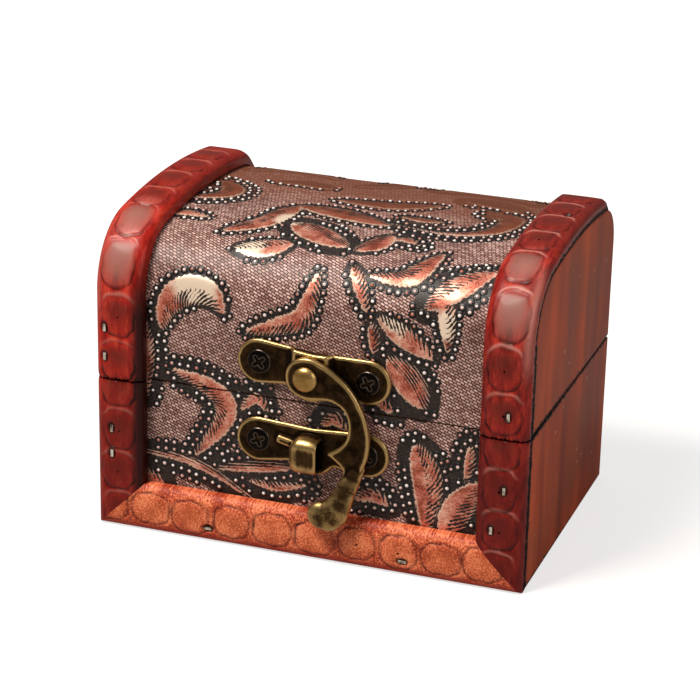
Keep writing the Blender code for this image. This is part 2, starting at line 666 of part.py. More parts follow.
def plate_screw(name, x, guide, carriers):
    """One screw in a lobe of a plate, its hole through the plate and into the wood."""
    rim = PLATE_FRONT - SCREW_RIM_HEIGHT
    spot = (x, -rim, 0)
    screw = turned_piece(name, "black_steel", screw_profile(), spot, FACING_FRONT, guide)
    mesh = outline_mesh(name + "_recess", recess_outline(), RECESS_DEPTH * 2)
    mesh.transform(Matrix.Rotation(RECESS_TURNS[name.removesuffix("_screw")], 4, "Z"))
    head_top = rim + SCREW_RIM_HEIGHT + SCREW_HEAD_CROWN
    recess = place_cutter(mesh, name + "_recess", (x, -head_top, 0), FACING_FRONT, guide)
    combine(screw, recess)
    slope = (SCREW_HEAD_RADIUS - SCREW_SHANK_RADIUS) / SCREW_CONE_DEPTH
    sink_depth = SCREW_CONE_DEPTH + 2 * SCREW_RIM_HEIGHT
    sink_bottom = SCREW_SHANK_RADIUS + SCREW_CLEARANCE
    cone_mesh = rod_mesh(name + "_sink", sink_bottom + slope * sink_depth, sink_depth, TURNED_STEPS,
                         sink_bottom)
    inward = (0, 0, math.pi / 2)
    sink_middle = -rim - 2 * SCREW_RIM_HEIGHT + sink_depth / 2
    sink = place_cutter(cone_mesh, name + "_sink", (x, sink_middle, 0), inward, guide)
    bore_length = SCREW_LENGTH + CUT_OVERRUN
    bore_mesh = rod_mesh(name + "_bore", SCREW_SHANK_RADIUS + SCREW_CLEARANCE, bore_length, TURNED_STEPS)
    bore_middle = SCREW_LENGTH + SCREW_CLEARANCE - rim - bore_length / 2
    bore = place_cutter(bore_mesh, name + "_bore", (x, bore_middle, 0), inward, guide)
    for carrier in carriers:
        combine(carrier, sink)
        combine(carrier, bore)
    return screw


def bridge_lift(x):
    """How far the latch plate's bridge stands out at a distance x from the pivot."""
    beyond = BRIDGE_HALF_WIDTH - abs(x)
    return BRIDGE_RAISE * min(max(beyond / BRIDGE_RAMP, 0), 1)


def latch_plate(hosts, latch_guide):
    """Plate on the lid: its middle is pressed out into a bridge that carries the hook."""
    bm = bmesh.new()
    bm.from_mesh(outline_mesh("latch_plate_blank", plate_outline(), PLATE_THICKNESS, PLATE_RIM))
    bmesh.ops.translate(bm, verts=bm.verts, vec=(PLATE_SHIFT, PLATE_RISE, 0))
    for line in (-BRIDGE_HALF_WIDTH, BRIDGE_RAMP - BRIDGE_HALF_WIDTH, BRIDGE_HALF_WIDTH - BRIDGE_RAMP,
                 BRIDGE_HALF_WIDTH):
        everything = bm.verts[:] + bm.edges[:] + bm.faces[:]
        bmesh.ops.bisect_plane(bm, geom=everything, plane_co=(line, 0, 0), plane_no=(1, 0, 0))
    for vert in bm.verts:
        vert.co.z += bridge_lift(vert.co.x)
    mesh = mesh_from(bm, "latch_plate", smooth=True)
    out = PLATE_SEAT_GAP + PLATE_THICKNESS / 2
    plate = place(mesh, "latch_plate", "antique_brass", (0, -out, 0), FACING_FRONT, latch_guide)
    hosts["latch_plate"] = plate
    screw_guide = make_empty("latch_screw_line", (PLATE_SHIFT, 0, PLATE_RISE), latch_guide)
    wood = [plate, hosts["lid_cover"], hosts["lid_front_board"]]
    for side, sign in (("left", -1), ("right", 1)):
        name = "latch_" + side + "_screw"
        hosts[name] = plate_screw(name, sign * PLATE_SCREW_SPREAD, screw_guide, wood)


def hook_rivet(hosts, latch_guide):
    """Domed rivet through the hook and the bridge, closed by a flat tail behind the bridge."""
    head_back = HOOK_FRONT + RIVET_END_PLAY
    tail_front = PLATE_SEAT_GAP + BRIDGE_RAISE - RIVET_END_PLAY
    dome = [(RIVET_HEAD_RADIUS * math.sin(a), head_back + RIVET_HEAD_HEIGHT * math.cos(a))
            for a in (0, math.pi / 10, math.pi / 5, math.pi * 3 / 10, math.pi * 2 / 5, math.pi / 2)]
    profile = dome + [(RIVET_SHANK_RADIUS, head_back), (RIVET_SHANK_RADIUS, tail_front),
                      (RIVET_TAIL_RADIUS, tail_front), (RIVET_TAIL_RADIUS, tail_front - RIVET_TAIL_HEIGHT),
                      (0, tail_front - RIVET_TAIL_HEIGHT)]
    hosts["hook_rivet"] = turned_piece("hook_rivet", "antique_brass", profile, (0, 0, 0), FACING_FRONT,
                                       latch_guide)
    length = HOOK_FRONT + CUT_OVERRUN
    mesh = rod_mesh("rivet_bore", RIVET_SHANK_RADIUS + RIVET_HOLE_CLEARANCE, length * 2, TURNED_STEPS)
    bore = place_cutter(mesh, "rivet_bore", (0, 0, 0), (0, 0, math.pi / 2), latch_guide)
    combine(hosts["latch_plate"], bore)
    combine(hosts["latch_hook"], bore)


def hook_bend(y):
    """How far the hook's tail is bent out towards the hand, by height below the pivot."""
    start = -HOOK_BEND_START_SHARE * HOOK_REACH
    past = min(max((start - y) / (HOOK_REACH + start), 0), 1)
    return HOOK_BEND * past * past * (3 - 2 * past)


def latch_hook(hosts, pivot_guide):
    """Crescent hook: a ring for the rivet, a nose for the keeper and a thick bent-out knob."""
    outline = [(x * HOOK_REACH, y * HOOK_REACH) for x, y in HOOK_OUTLINE_SHARES]
    bm = bmesh.new()
    bm.from_mesh(outline_mesh("hook_blank", outline, HOOK_THICKNESS, HOOK_RIM, HOOK_NOSE_INDEX,
                              HOOK_CURVE_STEPS))
    for cut in range(HOOK_BEND_CUTS):
        share = HOOK_BEND_START_SHARE + (1 - HOOK_BEND_START_SHARE) * cut / HOOK_BEND_CUTS
        everything = bm.verts[:] + bm.edges[:] + bm.faces[:]
        bmesh.ops.bisect_plane(bm, geom=everything, plane_co=(0, -share * HOOK_REACH, 0),
                               plane_no=(0, 1, 0))
    for vert in bm.verts:
        vert.co.z += hook_bend(vert.co.y)
    mesh = mesh_from(bm, "latch_hook", smooth=True)
    middle = (HOOK_BACK + HOOK_FRONT) / 2
    hook = place(mesh, "latch_hook", "antique_brass", (0, -middle, 0), FACING_FRONT, pivot_guide)
    bm = bmesh.new()
    size = (KNOB_HALF_WIDTH, KNOB_HALF_HEIGHT, KNOB_HALF_DEPTH)
    bmesh.ops.create_uvsphere(bm, u_segments=KNOB_FACETS, v_segments=KNOB_RINGS, radius=1.0,
                              matrix=Matrix.LocRotScale((0, 0, 0), None, size))
    spot = (KNOB_X_SHARE * HOOK_REACH, -middle - HOOK_BEND, -HOOK_REACH)
    knob = place_cutter(mesh_from(bm, "hook_knob", smooth=True), "hook_knob", spot, FACING_FRONT,
                        pivot_guide)
    combine(hook, knob, "UNION")
    hosts["latch_hook"] = hook


def keeper_plate(hosts, keeper_guide):
    """Plate on the base with a pressed hood; the hook's nose slides into the hood sideways."""
    mesh = outline_mesh("keeper_plate", plate_outline(), PLATE_THICKNESS, PLATE_RIM)
    out = PLATE_SEAT_GAP + PLATE_THICKNESS / 2
    plate = place(mesh, "keeper_plate", "antique_brass", (0, -out, 0), FACING_FRONT, keeper_guide)
    hosts["keeper_plate"] = plate
    left = -KEEPER_SETOFF - KEEPER_WIDTH / 2
    right = left + KEEPER_WIDTH
    low = -KEEPER_SINK - KEEPER_HEIGHT / 2
    high = low + KEEPER_HEIGHT
    room_front = HOOK_FRONT + KEEPER_ROOM
    hood_front = room_front + KEEPER_WALL
    bm = bmesh.new()
    size = (KEEPER_WIDTH, hood_front - PLATE_SEAT_GAP - PLATE_THICKNESS / 2, KEEPER_HEIGHT)
    middle = ((left + right) / 2, -hood_front + size[1] / 2, (low + high) / 2)
    bmesh.ops.create_cube(bm, size=1.0, matrix=Matrix.LocRotScale(middle, None, size))
    back = middle[1] + size[1] / 4
    rounded = [edge for edge in bm.edges if min(vert.co.y for vert in edge.verts) < back]
    bmesh.ops.bevel(bm, geom=rounded, offset=KEEPER_ROUND, segments=KEEPER_ROUND_STEPS, profile=0.5,
                    affect="EDGES", clamp_overlap=True, material=-1)
    hood = place_cutter(mesh_from(bm, "keeper_hood"), "keeper_hood", parent=keeper_guide)
    neck_low = (left - NECK_LENGTH, -PLATE_FRONT - NECK_HEIGHT, NECK_RISE - KEEPER_SINK - NECK_BREADTH / 2)
    neck_high = (left + KEEPER_WALL, -PLATE_SEAT_GAP - PLATE_THICKNESS / 2, neck_low[2] + NECK_BREADTH)
    neck = place_cutter(box_mesh("keeper_neck", neck_low, neck_high), "keeper_neck", parent=keeper_guide)
    room_low = (left + KEEPER_WALL, -room_front, low + KEEPER_WALL)
    room_high = (right + CUT_OVERRUN, -PLATE_FRONT - KEEPER_FLOOR, high - KEEPER_WALL)
    room = place_cutter(box_mesh("keeper_room", room_low, room_high), "keeper_room", parent=keeper_guide)
    combine(plate, hood, "UNION")
    combine(plate, neck, "UNION")
    combine(plate, room)
    wood = [plate, hosts["base_front_cover"], hosts["base_front_board"]]
    for side, sign in (("left", -1), ("right", 1)):
        name = "keeper_" + side + "_screw"
        hosts[name] = plate_screw(name, sign * PLATE_SCREW_SPREAD, keeper_guide, wood)


def latch(hosts):
    """Swing-hook latch: plate, rivet and hook on the lid, keeper on the base."""
    pivot = lid_place(LATCH_PIVOT_X, -HALF_DEPTH, LATCH_PIVOT_Z)
    latch_guide = make_empty("latch_seat", pivot, lid_guide, LATCH_PLATE_TILT)
    pivot_guide = make_empty("hook_pivot", pivot, lid_guide)
    keeper_guide = make_empty("keeper_seat", (KEEPER_PLATE_X, -HALF_DEPTH, KEEPER_PLATE_Z), base_guide)
    latch_plate(hosts, latch_guide)
    latch_hook(hosts, pivot_guide)
    hook_rivet(hosts, latch_guide)
    keeper_plate(hosts, keeper_guide)


def leaf_outline(sign, spans):
    """Leaf seen from behind: a plate away from the axis, with a tab to the axis at each span."""
    near = sign * (KNUCKLE_RADIUS + KNUCKLE_CLEARANCE)
    far = sign * LEAF_HEIGHT
    half = HINGE_WIDTH / 2
    corner = sign * LEAF_CORNER
    root = -sign * TAB_LAP
    points = [(-half, near), (-half, far - corner), (LEAF_CORNER - half, far), (half - LEAF_CORNER, far),
              (half, far - corner), (half, near)]
    for start, end in reversed(spans):
        points += [(end - TAB_INSET, near), (end - TAB_INSET, root), (start + TAB_INSET, root),
                   (start + TAB_INSET, near)]
    return points


def hinge_spans():
    """Where each leaf has its knuckles along the pin."""
    half = HINGE_WIDTH / 2
    middle = HINGE_WIDTH * HINGE_MIDDLE_SHARE / 2
    outer = middle + KNUCKLE_CLEARANCE
    return [(-half, -outer), (outer, half)], [(-middle, middle)]


def hinge_leaf(hosts, name, x, sign, spans, guide, carriers):
    """One leaf with its rolled knuckles, bored for the pin and held by two nails."""
    shift = Vector((x, 0, 0))
    if guide is base_guide:
        shift += Vector((0, HINGE_AXIS_Y, SEAM_HEIGHT))
    middle = KNUCKLE_BULGE - KNUCKLE_RADIUS + LEAF_THICKNESS / 2
    mesh = outline_mesh(name, leaf_outline(sign, spans), LEAF_THICKNESS)
    leaf = place(mesh, name, "antique_brass", shift + Vector((0, middle, 0)), FACING_FRONT, guide)
    hosts[name] = leaf
    for number, (start, end) in enumerate(spans):
        label = name + "_knuckle_" + str(number)
        knuckle = place_cutter(rod_mesh(label, KNUCKLE_RADIUS, end - start, TURNED_STEPS), label,
                               shift + Vector(((start + end) / 2, 0, 0)), parent=guide)
        # The exact solver leaves the single tab of the lid leaf open along its root
        combine(leaf, knuckle, "UNION", "MANIFOLD")
    label = name + "_bore"
    bore = place_cutter(rod_mesh(label, PIN_RADIUS + PIN_CLEARANCE, HINGE_WIDTH + CUT_OVERRUN, TURNED_STEPS),
                        label, shift, parent=guide)
    combine(leaf, bore)
    for side, way in (("left", -1), ("right", 1)):
        label = name.replace("leaf", side + "_nail")
        head_back = middle + LEAF_THICKNESS / 2 + NAIL_CLEARANCE
        spot = shift + Vector((way * HINGE_NAIL_SPREAD, head_back, sign * HINGE_NAIL_SETBACK))
        hosts[label] = turned_piece(label, "antique_brass", nail_profile(), spot, FACING_BACK, guide,
                                    NAIL_STEPS)
        length = NAIL_LENGTH + NAIL_CLEARANCE + CUT_OVERRUN
        hole_mesh = rod_mesh(label + "_hole", NAIL_SHANK_RADIUS + NAIL_CLEARANCE, length, NAIL_STEPS)
        hole_spot = spot + Vector((0, CUT_OVERRUN - length / 2, 0))
        hole = place_cutter(hole_mesh, label + "_hole", hole_spot, (0, 0, math.pi / 2), guide)
        for carrier in [leaf] + carriers:
            combine(carrier, hole)


def nail_profile():
    """Domed head over a short pointed shank; the head's underside is at height zero."""
    dome = [(NAIL_HEAD_RADIUS * math.sin(a), NAIL_HEAD_HEIGHT * math.cos(a))
            for a in (0, math.pi / 6, math.pi / 3, math.pi / 2)]
    return dome + [(NAIL_SHANK_RADIUS, 0), (NAIL_SHANK_RADIUS, NAIL_TIP_LENGTH - NAIL_LENGTH),
                   (0, -NAIL_LENGTH)]


def hinge_pin(hosts, name, x):
    """Pin through all the knuckles, headed at both ends."""
    half = HINGE_WIDTH / 2 + PIN_CLEARANCE
    head = half + PIN_HEAD_HEIGHT
    profile = [(0, head), (PIN_HEAD_RADIUS, head), (PIN_HEAD_RADIUS, half), (PIN_RADIUS, half),
               (PIN_RADIUS, -half), (PIN_HEAD_RADIUS, -half), (PIN_HEAD_RADIUS, -head), (0, -head)]
    hosts[name] = turned_piece(name, "antique_brass", profile, (x, HINGE_AXIS_Y, SEAM_HEIGHT),
                               (0, math.pi / 2, 0), base_guide)


def hinges(hosts):
    """Two small butt hinges, leaf on the base and leaf on the lid."""
    base_spans, lid_spans = hinge_spans()
    for side, sign in (("left", -1), ("right", 1)):
        x = sign * (HALF_WIDTH - HINGE_INSET)
        hinge_leaf(hosts, side + "_hinge_base_leaf", x, -1, base_spans, base_guide,
                   [hosts["base_back_cover"], hosts["base_back_board"]])
        hinge_leaf(hosts, side + "_hinge_lid_leaf", x, 1, lid_spans, lid_guide,
                   [hosts["lid_cover"], hosts["lid_back_board"]])
        hinge_pin(hosts, side + "_hinge_pin", x)


def build_box():
    pieces = end_panels()
    pieces.update(carcass_boards())
    pieces.update(leatherette_covers())
    pieces.update(wooden_strips())
    brads(pieces)
    latch(pieces)
    hinges(pieces)
    bpy.context.view_layer.update()
    return pieces


PIECES = build_box()
print("pieces made:", len(PIECES))
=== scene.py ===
# %% [markdown]
# # Dressing a small wooden keepsake box
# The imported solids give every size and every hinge. This lesson puts the real surfaces over them:
# carved and lacquered strips, embossed leatherette with foil leaves, stained end boards and an
# antique brass latch. Every piece is placed where its solid stands, so the box still opens.

# %% Load the solids
import json
import math

import bmesh
import bpy
import numpy as np
from mathutils import Matrix, Vector

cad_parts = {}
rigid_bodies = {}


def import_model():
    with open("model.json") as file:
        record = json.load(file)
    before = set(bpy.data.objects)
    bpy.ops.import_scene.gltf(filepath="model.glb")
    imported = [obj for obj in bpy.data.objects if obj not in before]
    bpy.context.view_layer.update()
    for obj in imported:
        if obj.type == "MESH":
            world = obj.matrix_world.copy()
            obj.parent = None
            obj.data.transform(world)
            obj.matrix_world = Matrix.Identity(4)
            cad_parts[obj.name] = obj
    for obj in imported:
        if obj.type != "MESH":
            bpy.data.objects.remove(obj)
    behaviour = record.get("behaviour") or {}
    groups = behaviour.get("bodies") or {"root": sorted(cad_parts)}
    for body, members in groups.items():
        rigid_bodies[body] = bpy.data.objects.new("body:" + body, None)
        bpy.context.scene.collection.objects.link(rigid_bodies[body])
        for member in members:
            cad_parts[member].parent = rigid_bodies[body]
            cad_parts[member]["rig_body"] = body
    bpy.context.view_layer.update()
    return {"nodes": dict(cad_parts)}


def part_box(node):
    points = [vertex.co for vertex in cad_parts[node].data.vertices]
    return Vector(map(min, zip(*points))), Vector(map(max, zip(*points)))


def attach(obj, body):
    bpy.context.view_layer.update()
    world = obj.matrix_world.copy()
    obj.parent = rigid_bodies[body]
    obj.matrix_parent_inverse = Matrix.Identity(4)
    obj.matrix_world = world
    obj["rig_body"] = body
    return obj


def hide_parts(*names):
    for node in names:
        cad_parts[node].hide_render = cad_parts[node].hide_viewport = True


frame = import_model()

MM = 0.001


def add_object(name, data):
    """Put an object with this data into the scene."""
    thing = bpy.data.objects.new(name, data)
    bpy.context.scene.collection.objects.link(thing)
    return thing


print("solids loaded:", len(frame["nodes"]))

# %% [markdown]
# ## The camera
# The picture was taken from the front right, a little above the lid, with a fairly long lens. The
# camera is set first, because every later choice of detail depends on what can be seen.

# %% Camera
CAMERA_PLACE = (0.15625, -0.45942, 0.22065)
HEADING, TILT, ROLL = 0.3327, -0.3689, -0.0218
lens = bpy.data.cameras.new("portrait_lens")
lens.sensor_width = 36
lens.lens = 128.57
camera = add_object("portrait_camera", lens)
camera.matrix_world = (Matrix.Translation(CAMERA_PLACE) @ Matrix.Rotation(HEADING, 4, "Z")
                       @ Matrix.Rotation(TILT, 4, "X") @ Matrix.Rotation(ROLL, 4, "Y")
                       @ Matrix.Rotation(math.pi / 2, 4, "X"))
bpy.context.scene.camera = camera
bpy.context.scene.view_settings.view_transform = "Standard"
print("camera stands at", [round(value, 3) for value in camera.location])

# %% [markdown]
# ## Colours and nodes
# Colours are read off as sRGB hex values, but Blender's shaders count in linear light, so one
# function turns them. Another adds a node, sets it and links it, and every material is written
# with that one function.

# %% Colour and node helpers
def tint(code):
    """An sRGB hex value as a linear colour."""
    parts = [int(code[start:start + 2], 16) / 255 for start in (1, 3, 5)]
    return [part / 12.92 if part <= 0.04045 else ((part + 0.055) / 1.055) ** 2.4 for part in parts] + [1]


def feed(tree, socket, value):
    """Link a node or a socket to this socket; any other value is set on it."""
    if isinstance(value, bpy.types.Node):
        value = next(item for item in value.outputs if item.enabled)
    if isinstance(value, bpy.types.NodeSocket):
        tree.links.new(value, socket)
    else:
        socket.default_value = value


def add_node(tree, kind, inputs=None, stops=(), **settings):
    """Add a node, set it, feed its inputs by name or number and place a ramp's stops."""
    node = tree.nodes.new("ShaderNode" + kind)
    for name, value in settings.items():
        setattr(node, name, value)
    for key, value in (inputs or {}).items():
        named = (item for item in node.inputs if item.name == key and item.enabled)
        feed(tree, node.inputs[key] if isinstance(key, int) else next(named), value)
    for number, (place, code) in enumerate(stops):
        ramp_stops = node.color_ramp.elements
        stop = ramp_stops[number] if number < 2 else ramp_stops.new(place)
        stop.position = place
        stop.color = tint(code)
    return node


print("a mid grey turns to", round(tint("#808080")[0], 3))

# %% [markdown]
# A few kinds of node come back in every material. Each has a short name here, so that a material
# reads as a list of what the eye sees. Where a node has several outputs, the first one counts.

# %% Short names for common nodes
def noise(tree, where, size, detail, **more):
    """Noise with spots of about this size in millimetres; three sizes stretch it along the axes."""
    scale = 1
    if isinstance(size, tuple):
        where = add_node(tree, "Mapping", {"Vector": where, "Scale": [1 / (part * MM) for part in size]})
    else:
        scale = 1 / (size * MM)
    return add_node(tree, "TexNoise", {"Vector": where, "Scale": scale, "Detail": detail, **more})


def mark_of(tree, name, output="Fac"):
    """A mark that the shape has left on its points, as a number or as a vector."""
    return add_node(tree, "Attribute", attribute_name=name).outputs[output]


def parts_of(tree, vector):
    """The three parts of a vector."""
    return add_node(tree, "SeparateXYZ", {"Vector": vector}).outputs


def reckon(tree, operation, *values, clamp=False):
    """One step of arithmetic."""
    return add_node(tree, "Math", dict(enumerate(values)), operation=operation, use_clamp=clamp)


def times(tree, value, factor, plus=None, clamp=False):
    """A value times a factor, and plus another value if one is given."""
    if plus is None:
        return reckon(tree, "MULTIPLY", value, factor, clamp=clamp)
    return reckon(tree, "MULTIPLY_ADD", value, factor, plus, clamp=clamp)


def remap(tree, value, span, onto=(0, 1), smooth=False):
    """Carry a span of values onto another, evenly or with soft ends."""
    ends = zip(("From Min", "From Max", "To Min", "To Max"), span + onto)
    return add_node(tree, "MapRange", {"Value": value, **dict(ends)},
                    interpolation_type="SMOOTHSTEP" if smooth else "LINEAR")


def ramp(tree, value, *stops):
    """Colours by value."""
    return add_node(tree, "ValToRGB", {"Fac": value}, stops)


def paint(tree, share, under, over, **settings):
    """Lay a share of one colour over another; either may be a node or a hex value."""
    under, over = [tint(colour) if isinstance(colour, str) else colour for colour in (under, over)]
    return add_node(tree, "Mix", {"Factor": share, "A": under, "B": over}, data_type="RGBA", **settings)


# %% Start and end of a material
def start_material(name):
    """A new material with its tree and its place on the piece."""
    material = bpy.data.materials.new(name)
    material.use_nodes = True
    tree = material.node_tree
    return material, tree, add_node(tree, "TexCoord").outputs["Object"]


def finish_material(material, looks, relief=None, strength=1, depth=1):
    """Feed the shader its looks by name, and its relief as a bump of some depth in millimetres."""
    tree = material.node_tree
    if relief is not None:
        looks["Normal"] = add_node(tree, "Bump", {"Height": relief, "Strength": strength, "Distance": depth * MM})
    for name, value in looks.items():
        feed(tree, tree.nodes["Principled BSDF"].inputs[name], value)
    print(material.name, "has", len(tree.nodes), "nodes")
    return material


# %% [markdown]
# ## Putting a piece in the scene
# A piece is shaped as a bmesh, in millimetres, and its place goes into its mesh, so the object
# itself stays at the origin. Then it rides on the base, the lid or the hook, and stands in for
# the solids that it dresses.

# %% Piece helpers
def to_mesh(bm, name="work"):
    """Turn a bmesh into a mesh and let the bmesh go."""
    mesh = bpy.data.meshes.new(name)
    bm.to_mesh(mesh)
    bm.free()
    return mesh


def finish_piece(bm, name, body, material, stands_for=(), sharp=40, place=Matrix.Identity(4)):
    """Turn a bmesh in millimetres into a finished piece on one of the box's moving parts."""
    bm.transform(Matrix.Scale(MM, 4) @ place)
    mesh = to_mesh(bm, name)
    mesh.shade_smooth()
    mesh.set_sharp_from_angle(angle=math.radians(sharp))
    mesh.materials.append(material)
    piece = add_object(name, mesh)
    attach(piece, body)
    if stands_for:
        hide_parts(*stands_for)
    mesh.calc_loop_triangles()
    print(name, "has", len(mesh.loop_triangles), "triangles")
    return piece


def run_modifier(bm, kind, **settings):
    """Run a modifier over a bmesh and give back the shape that it makes."""
    mesh = to_mesh(bm)
    guide = add_object("work", mesh)
    step = guide.modifiers.new(kind, kind)
    for key, value in settings.items():
        setattr(step, key, value)
    made = bmesh.new()
    made.from_object(guide, bpy.context.evaluated_depsgraph_get())
    bpy.data.objects.remove(guide)
    bpy.data.meshes.remove(mesh)
    return made


# %% [markdown]
# Round things, from pearl dots to screws, are turned: half of a profile is spun about an axis, as
# a lathe or a round punch shapes them.

# %% Turned pieces
WELD = 0.001


def turned(profile, steps=40):
    """Spin a profile of radius and height about the Z axis."""
    bm = bmesh.new()
    verts = [bm.verts.new((radius, 0, height)) for radius, height in profile]
    edges = [bm.edges.new(pair) for pair in zip(verts, verts[1:])]
    bmesh.ops.spin(bm, geom=verts + edges, cent=(0, 0, 0), axis=(0, 0, 1), angle=2 * math.pi, steps=steps,
                   use_merge=True, use_duplicate=False)
    bmesh.ops.remove_doubles(bm, verts=bm.verts, dist=WELD)
    bmesh.ops.recalc_face_normals(bm, faces=bm.faces)
    return bm


def arc_of_profile(radius, height, low, count):
    """Profile points over a dome, from its middle out to its rim."""
    return [(radius * math.sin(a), low + height * math.cos(a)) for a in np.linspace(0, math.pi / 2, count)]


# %% [markdown]
# ## The loaf outline
# Seen from the side, the box is a loaf: a straight front, a round shoulder, a wide crown, a
# tighter rear shoulder and a straight back. Leatherette and strips are both bent round it, so one
# map serves them all: it takes how far a point lies along the outline from the seam at the front,
# and how far it stands out, and gives its place in the side view.

# %% Loaf map
HALF_WIDTH = 45.3
HALF_DEPTH = 30.0
SEAM = 32.4
CROWN_RADIUS = 150.0
CROWN_CENTRE = (2.5, 64.0 - CROWN_RADIUS)
SHOULDERS = ((-1, 12.0), (1, 9.0))


def loaf_arcs():
    """Start along the outline, centre, radius, first and last angle of the three arcs."""
    rounds = []
    for side, radius in SHOULDERS:
        across = side * (HALF_DEPTH - radius) - CROWN_CENTRE[0]
        up = math.sqrt((CROWN_RADIUS - radius) ** 2 - across ** 2)
        centre = (CROWN_CENTRE[0] + across, CROWN_CENTRE[1] + up)
        rounds.append((centre, radius, math.atan2(up, across)))
    (front, front_radius, front_turn), (rear, rear_radius, rear_turn) = rounds
    plan = [(front, front_radius, math.pi, front_turn), (CROWN_CENTRE, CROWN_RADIUS, front_turn, rear_turn),
            (rear, rear_radius, rear_turn, 0)]
    start = front[1] - SEAM
    arcs = []
    for centre, radius, first, last in plan:
        arcs.append((start, centre, radius, first, last))
        start += radius * (first - last)
    return arcs


ARCS = loaf_arcs()
FRONT_WALL = ARCS[0][0]
FRONT_TOP = ARCS[0][1][1]
REAR_WALL = ARCS[2][0] + ARCS[2][2] * ARCS[2][3]
REAR_TOP = ARCS[2][1][1]
BACK_SEAM = REAR_WALL + REAR_TOP - SEAM
BACK_FOOT = BACK_SEAM + SEAM


def on_loaf(along, out):
    """Places y and z for arrays of lengths along the outline and heights above it."""
    front = along < FRONT_WALL
    y = np.where(front, -HALF_DEPTH - out, HALF_DEPTH + out)
    z = np.where(front, SEAM + along, REAR_TOP - (along - REAR_WALL))
    for start, centre, radius, first, last in ARCS:
        inside = (along >= start) & (along <= start + radius * (first - last))
        angle = first - (along - start) / radius
        y = np.where(inside, centre[0] + (radius + out) * np.cos(angle), y)
        z = np.where(inside, centre[1] + (radius + out) * np.sin(angle), z)
    return y, z


print("over the lid from seam to seam:", round(BACK_SEAM, 2), "mm")

# %% [markdown]
# A flat grid is the easiest start for anything that wraps: the operator makes all its faces, and
# each point is then told its share of the width and of the length and moved to its place. What
# the material needs to know later, such as the distance to a leaf's edge, is kept on the points.

# %% Grid helpers
def write_mark(bm, name, values):
    """Keep a number, or three of them, on each point under a name."""
    single = np.ndim(values) == 1
    layer = (bm.verts.layers.float if single else bm.verts.layers.float_vector).new(name)
    for vert, value in zip(bm.verts, values):
        vert[layer] = float(value) if single else Vector(value)


def shaped_grid(columns, rows, shape):
    """A grid whose points shape(across share, along share) moves; it may also mark them."""
    bm = bmesh.new()
    bmesh.ops.create_grid(bm, x_segments=columns, y_segments=rows, size=1)
    shares = np.array([vert.co[:2] for vert in bm.verts]) / 2 + 0.5
    places, marks = shape(shares[:, 0], shares[:, 1])
    for vert, place in zip(bm.verts, places):
        vert.co = place
    for name, values in marks.items():
        write_mark(bm, name, values)
    return bm


def shaped_tube(columns, rows, shape):
    """A shaped grid with its long edges welded together and both ends capped."""
    bm = shaped_grid(columns, rows, shape)
    bmesh.ops.remove_doubles(bm, verts=bm.verts, dist=WELD)
    bmesh.ops.edgeloop_fill(bm, edges=[edge for edge in bm.edges if edge.is_boundary])
    bmesh.ops.recalc_face_normals(bm, faces=bm.faces)
    return bm


def bisect(bm, point, normal, **settings):
    """Slice everything along a plane."""
    everything = bm.verts[:] + bm.edges[:] + bm.faces[:]
    bmesh.ops.bisect_plane(bm, geom=everything, plane_co=point, plane_no=normal, **settings)


def slice_off(bm, point, normal):
    """Cut away what lies beyond a plane, close the cut and leave its rim without marks."""
    bisect(bm, point, normal, clear_outer=True)
    cut = [edge for edge in bm.edges if edge.is_boundary]
    for vert in {vert for edge in cut for vert in edge.verts}:
        for layer in bm.verts.layers.float.values():
            vert[layer] = 0
    bmesh.ops.edgeloop_fill(bm, edges=cut)


# %% [markdown]
# ## Carved strips
# The strips are cut with a gouge into a row of domed rounds, then stained and lacquered. The
# rounds could be a bump map, but their rims catch the light along the outline, so they are real
# relief: a superellipse dome with a narrow groove round it. Each strip is a grid closed into a
# tube, capped, and mitred with the same planes as the solid.

# %% Strip section
STRIP_WIDTH = 10.0
STRIP_SEAT = 0.05
STRIP_PROUD = 3.3
OUTER_ROUND = (2.4, 1.8)
INNER_ROUND = (2.8, 1.8)
SECTION_COLUMNS = 84
ROW_LENGTH = 0.25
HIDDEN_PACE = 0.12


def strip_section(share):
    """Inward and outward places round the strip's section, most of them on its visible sides."""
    turn = np.linspace(math.pi, math.pi / 2, 12)
    outer = [(OUTER_ROUND[0] * (1 + math.cos(a)), STRIP_PROUD - OUTER_ROUND[1] * (1 - math.sin(a))) for a in turn]
    inner = [(STRIP_WIDTH - INNER_ROUND[0] * (1 - math.cos(a)),
              STRIP_PROUD - INNER_ROUND[1] * (1 - math.sin(a))) for a in turn - math.pi / 2]
    path = np.array([(0, STRIP_SEAT)] + outer + inner + [(STRIP_WIDTH, STRIP_SEAT), (0, STRIP_SEAT)])
    pace = np.hypot(*np.diff(path, axis=0).T)
    pace[-1] *= HIDDEN_PACE
    way = np.concatenate(([0], np.cumsum(pace)))
    return [np.interp(share * way[-1], way, column) for column in path.T]


print("strip section:", STRIP_WIDTH, "mm wide,", STRIP_PROUD, "mm proud")


# %% [markdown]
# The carver's hand isn't even: a few slow waves shift each round a little, and where the strips
# were sawn through at the seam the lacquer has chipped, so the last half millimetre is ragged.

# %% Carved relief
ROUND_HALF_LENGTH = 4.0
ROUND_HALF_WIDTH = 3.45
ROUND_HEIGHT = 0.20
GROOVE_DEPTH = 0.26
GROOVE_SHARE = 0.065
BEAD_HEIGHT = 0.10
BEAD_PLACE = 1.17
BEAD_SHARE = 0.07
SQUARENESS = 2.7
# Heights on the section between which the relief sets in, and the part of the strip whose rounds get a painted
# sheen
RELIEF_FOOT = 1.2
RELIEF_RISE = 1.7
SHEEN_MIDDLE = 28.5
SHEEN_REACH = 9.5
CHIP_REACH = 0.38


